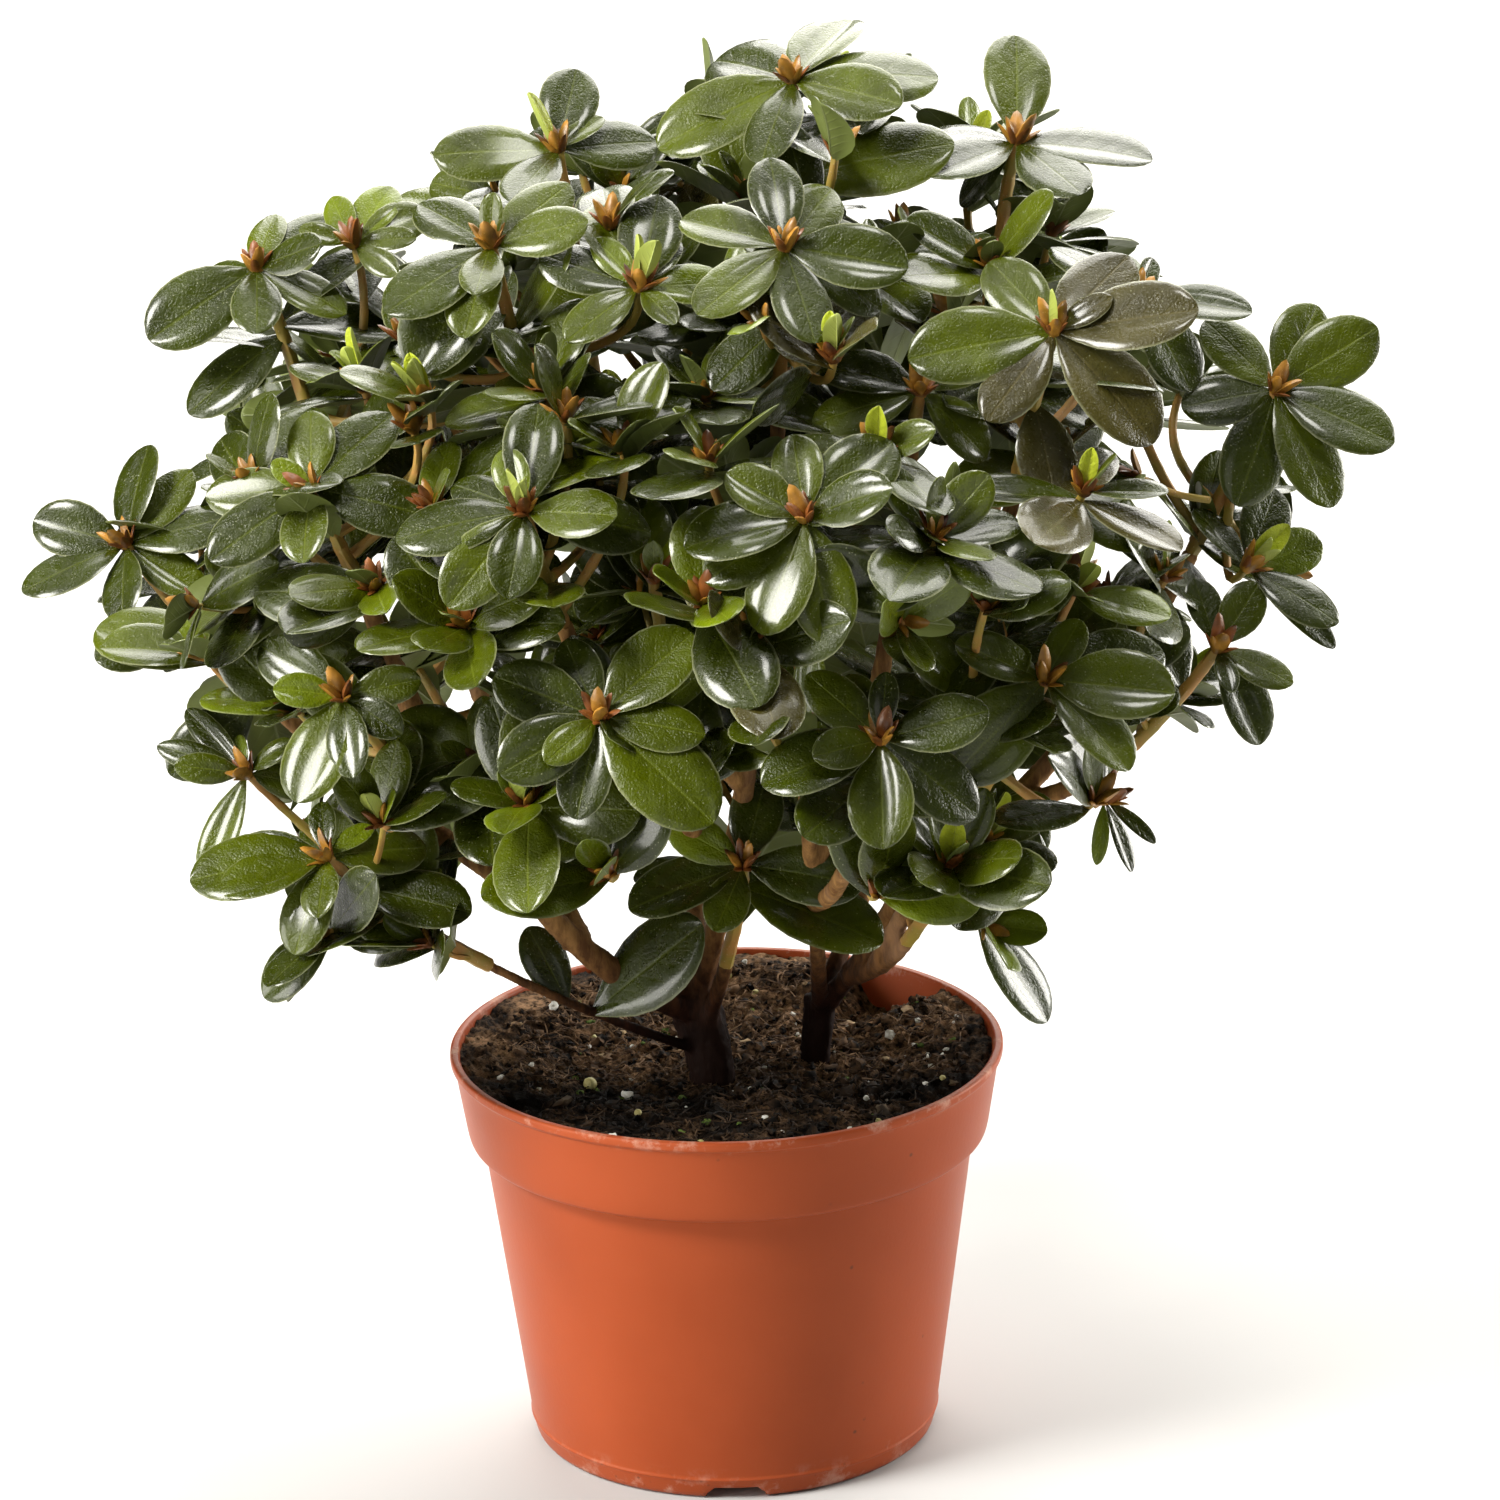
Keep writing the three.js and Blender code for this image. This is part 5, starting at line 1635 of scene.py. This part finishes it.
def scatter(name, count, sizes, squash, rough, look, seed):
    """Many small lumps on the soil, each a ball pushed in and out by its own noise."""
    lot = np.random.default_rng(seed)
    all_verts, all_faces = [], []
    while len(all_verts) < count:
        a, r = lot.uniform(0, FULL_TURN), LUMPS_REACH * math.sqrt(lot.random())
        x, y = r * math.cos(a), r * math.sin(a)
        size = lot.uniform(*sizes) * (0.6 + 0.8 * lot.random() ** 3)
        if on_trunk(x, y, size):
            continue
        shift = lot.uniform(0, 90, 3)
        lumps = np.array([noise.noise(Vector(p * 1.3 + shift)) for p in ball_verts])
        squashed = np.array([1, lot.uniform(0.7, 1), squash])
        form = ball_verts * (1 + rough * lumps)[:, None] * squashed * size
        spin = Matrix.Rotation(lot.uniform(0, 6.28), 3, "Z")
        spin = np.array(spin @ Matrix.Rotation(lot.uniform(-0.5, 0.5), 3, "X"))
        high = soil_height(x, y) + size * squash * (0.5 - LUMPS_SINK)
        all_faces.append(ball_faces + len(all_verts) * len(ball_verts))
        all_verts.append(form @ spin.T + [x, y, high])
    verts, faces = np.concatenate(all_verts), np.concatenate(all_faces)
    piece(name, verts, [faces], [look], ["soil"])


print("room kept at the trunks:", TRUNK_ROOM, "mm")


# %% Materials of the small lumps
def grain_material(name, low, high, roughness, scale=900.0, front_shaded=False):
    """Two tones in fine grains. Peat-like ones also take the soil's painted shade toward the front."""
    material, tree, shader = new_material(name)
    grain = grainy(tree, on_object(tree), scale, 4.0)
    color = blend(tree, spread(tree, grain, 0.4, 0.62), low, high)
    # painted shade toward the front, the same as on the soil
    if front_shaded:
        color = use_group(tree, painted_front_shade, Color=color).outputs[0]
    rough = spread(tree, grain, 0.3, 0.7, roughness, roughness + 0.12)
    feed(tree, shader, Base_Color=color, Roughness=rough, Normal=bumpy(tree, grain, 0.6, 0.0004))
    setting(shader, Specular_IOR_Level=0.15 if roughness > 0.7 else 0.4)
    return material


# crumbs and chips take the painted shade toward the front
crumb = grain_material("peat_crumb", (0.004, 0.002, 0.001), (0.12, 0.068, 0.036), 0.85, 420.0, True)
chip = grain_material("bark_chip_tan", (0.16, 0.09, 0.045), (0.42, 0.30, 0.17), 0.8, 300.0, True)
white = grain_material("perlite_white", (0.55, 0.52, 0.46), (0.85, 0.84, 0.80), 0.8)
yellow = grain_material("feed_grain_yellow", (0.42, 0.36, 0.12), (0.55, 0.50, 0.22), 0.45)
moss = grain_material("moss_green", (0.04, 0.07, 0.012), (0.13, 0.18, 0.04), 0.9, 700.0)
print("lump materials:", crumb.name, chip.name, white.name, yellow.name, moss.name)

# %% Crumbs, chips, perlite, feed grains and moss
# name, how many, sizes, height as a share of the width, how lumpy, look, seed
scatter("peat_crumbs", 1800, (0.4, 1.5), 0.75, 1.2, crumb, 11)
scatter("bark_chips", 40, (0.9, 2.2), 0.4, 1.0, chip, 16)
scatter("perlite", 60, (0.5, 1.2), 0.85, 0.8, white, 12)
scatter("feed_grains", 12, (1.1, 1.4), 1.0, 0.08, yellow, 13)
scatter("moss_bits", 45, (0.6, 1.3), 0.6, 1.1, moss, 14)

# %% Peat fibres and bits of old leaf
FIBRES, LINKS = 620, 6
FIBRES_REACH, FIBRE_END = 55, 58  # how far out fibres start, and where they are cut off
lot = np.random.default_rng(15)
fibres = []
for _ in range(FIBRES):
    a, r = lot.uniform(0, FULL_TURN), FIBRES_REACH * math.sqrt(lot.random())
    x, y, way, long = r * math.cos(a), r * math.sin(a), lot.uniform(0, 6.28), lot.uniform(3, 13)
    chain = []
    for k in range(LINKS + 1):
        px, py = x + long * k / LINKS * math.cos(way), y + long * k / LINKS * math.sin(way)
        if math.hypot(px, py) > FIBRE_END:
            break
        way += lot.uniform(-0.75, 0.75)
        chain.append([px, py, soil_height(px, py) + 0.25 + lot.uniform(0, 0.9)])
    if len(chain) > 3:
        thick = lot.uniform(0.09, 0.26)

        def tapering(share, a, thick=thick):
            return thick * (1 - 0.5 * share) + 0 * a

        fibres.append(tube(Line(chain), tapering, 5, 1.4, ends=0.1))
verts, faces = join(fibres)
# fibres take the painted shade toward the front
fibre = grain_material("peat_fibre", (0.05, 0.025, 0.013), (0.26, 0.155, 0.085), 0.75, 300.0, True)
piece("peat_fibres", verts, faces, [fibre], ["soil"])

# %% [markdown]
# ## Floor and light
# A pale floor and a white world give the plain background. Glossy leaves are mirrors more than they
# are green, so what they reflect matters as much as what lights them: a strong soft light from the
# upper left, a broad one above and behind for the white sheen on the leaves, a small one overhead for
# hard glints, two low ones that draw a pale line down each side of the pot, and a weak fill from the
# front. All are very slightly warm.

# %% Floor
FLOOR_HALF = 6  # in metres
floor_mesh = bpy.data.meshes.new("floor")
floor_corners = [(x * FLOOR_HALF, y * FLOOR_HALF, 0) for x, y in ((-1, -1), (1, -1), (1, 1), (-1, 1))]
floor_mesh.from_pydata(floor_corners, [], [(0, 1, 2, 3)])
floor = add_to_scene("floor", floor_mesh)
floor_look, tree, shader = new_material("pale_floor")
setting(shader, Base_Color=(0.45, 0.45, 0.45, 1), Roughness=0.9)
floor.data.materials.append(floor_look)
print("floor:", 2 * FLOOR_HALF, "m across")

# %% World
AS_LIGHT, AS_BACKGROUND = 0.05, 1.05  # the sky's strength on the plant, and as the camera sees it
world = bpy.data.worlds.new("studio")
bpy.context.scene.world = world
world.use_nodes = True
sky = world.node_tree
sky.nodes["Background"].inputs["Color"].default_value = (1, 1, 1, 1)
is_camera = sky.nodes.new("ShaderNodeLightPath").outputs["Is Camera Ray"]
strength = spread(sky, is_camera, 0.0, 1.0, AS_LIGHT, AS_BACKGROUND)
sky.links.new(strength, sky.nodes["Background"].inputs["Strength"])
print("world:", world.name)

# %% Lights
LIGHT_COLOR = (1.0, 0.98, 0.925)


def soft_light(name, place, aim, size, power):
    """A round light. Place, aim and size are in metres, power in watts."""
    light = bpy.data.lights.new(name, "AREA")
    light.shape, light.size, light.energy, light.color = "DISK", size, power, LIGHT_COLOR
    obj = add_to_scene(name, light)
    obj.location = place
    obj.rotation_euler = (Vector(aim) - Vector(place)).to_track_quat("-Z", "Y").to_euler()


soft_light("key_left", (-1.25, -0.75, 1.6), (0, 0, 0.2), 0.75, 68)
soft_light("top_soft", (0.25, -0.35, 2.0), (0, 0, 0.2), 0.45, 15)
soft_light("back_top", (0.25, 1.3, 1.5), (0, 0, 0.22), 2.1, 86)
soft_light("left_edge", (-1.55, -0.55, 0.25), (0, 0, 0.08), 1.1, 32)
soft_light("right_edge", (1.5, 0.6, 0.5), (0, 0, 0.12), 0.8, 34)
soft_light("front_fill", (0.6, -2.2, 0.9), (0, 0, 0.15), 1.4, 5)
bpy.context.scene.view_settings.view_transform = "Standard"
print("lights:", len(bpy.data.lights))
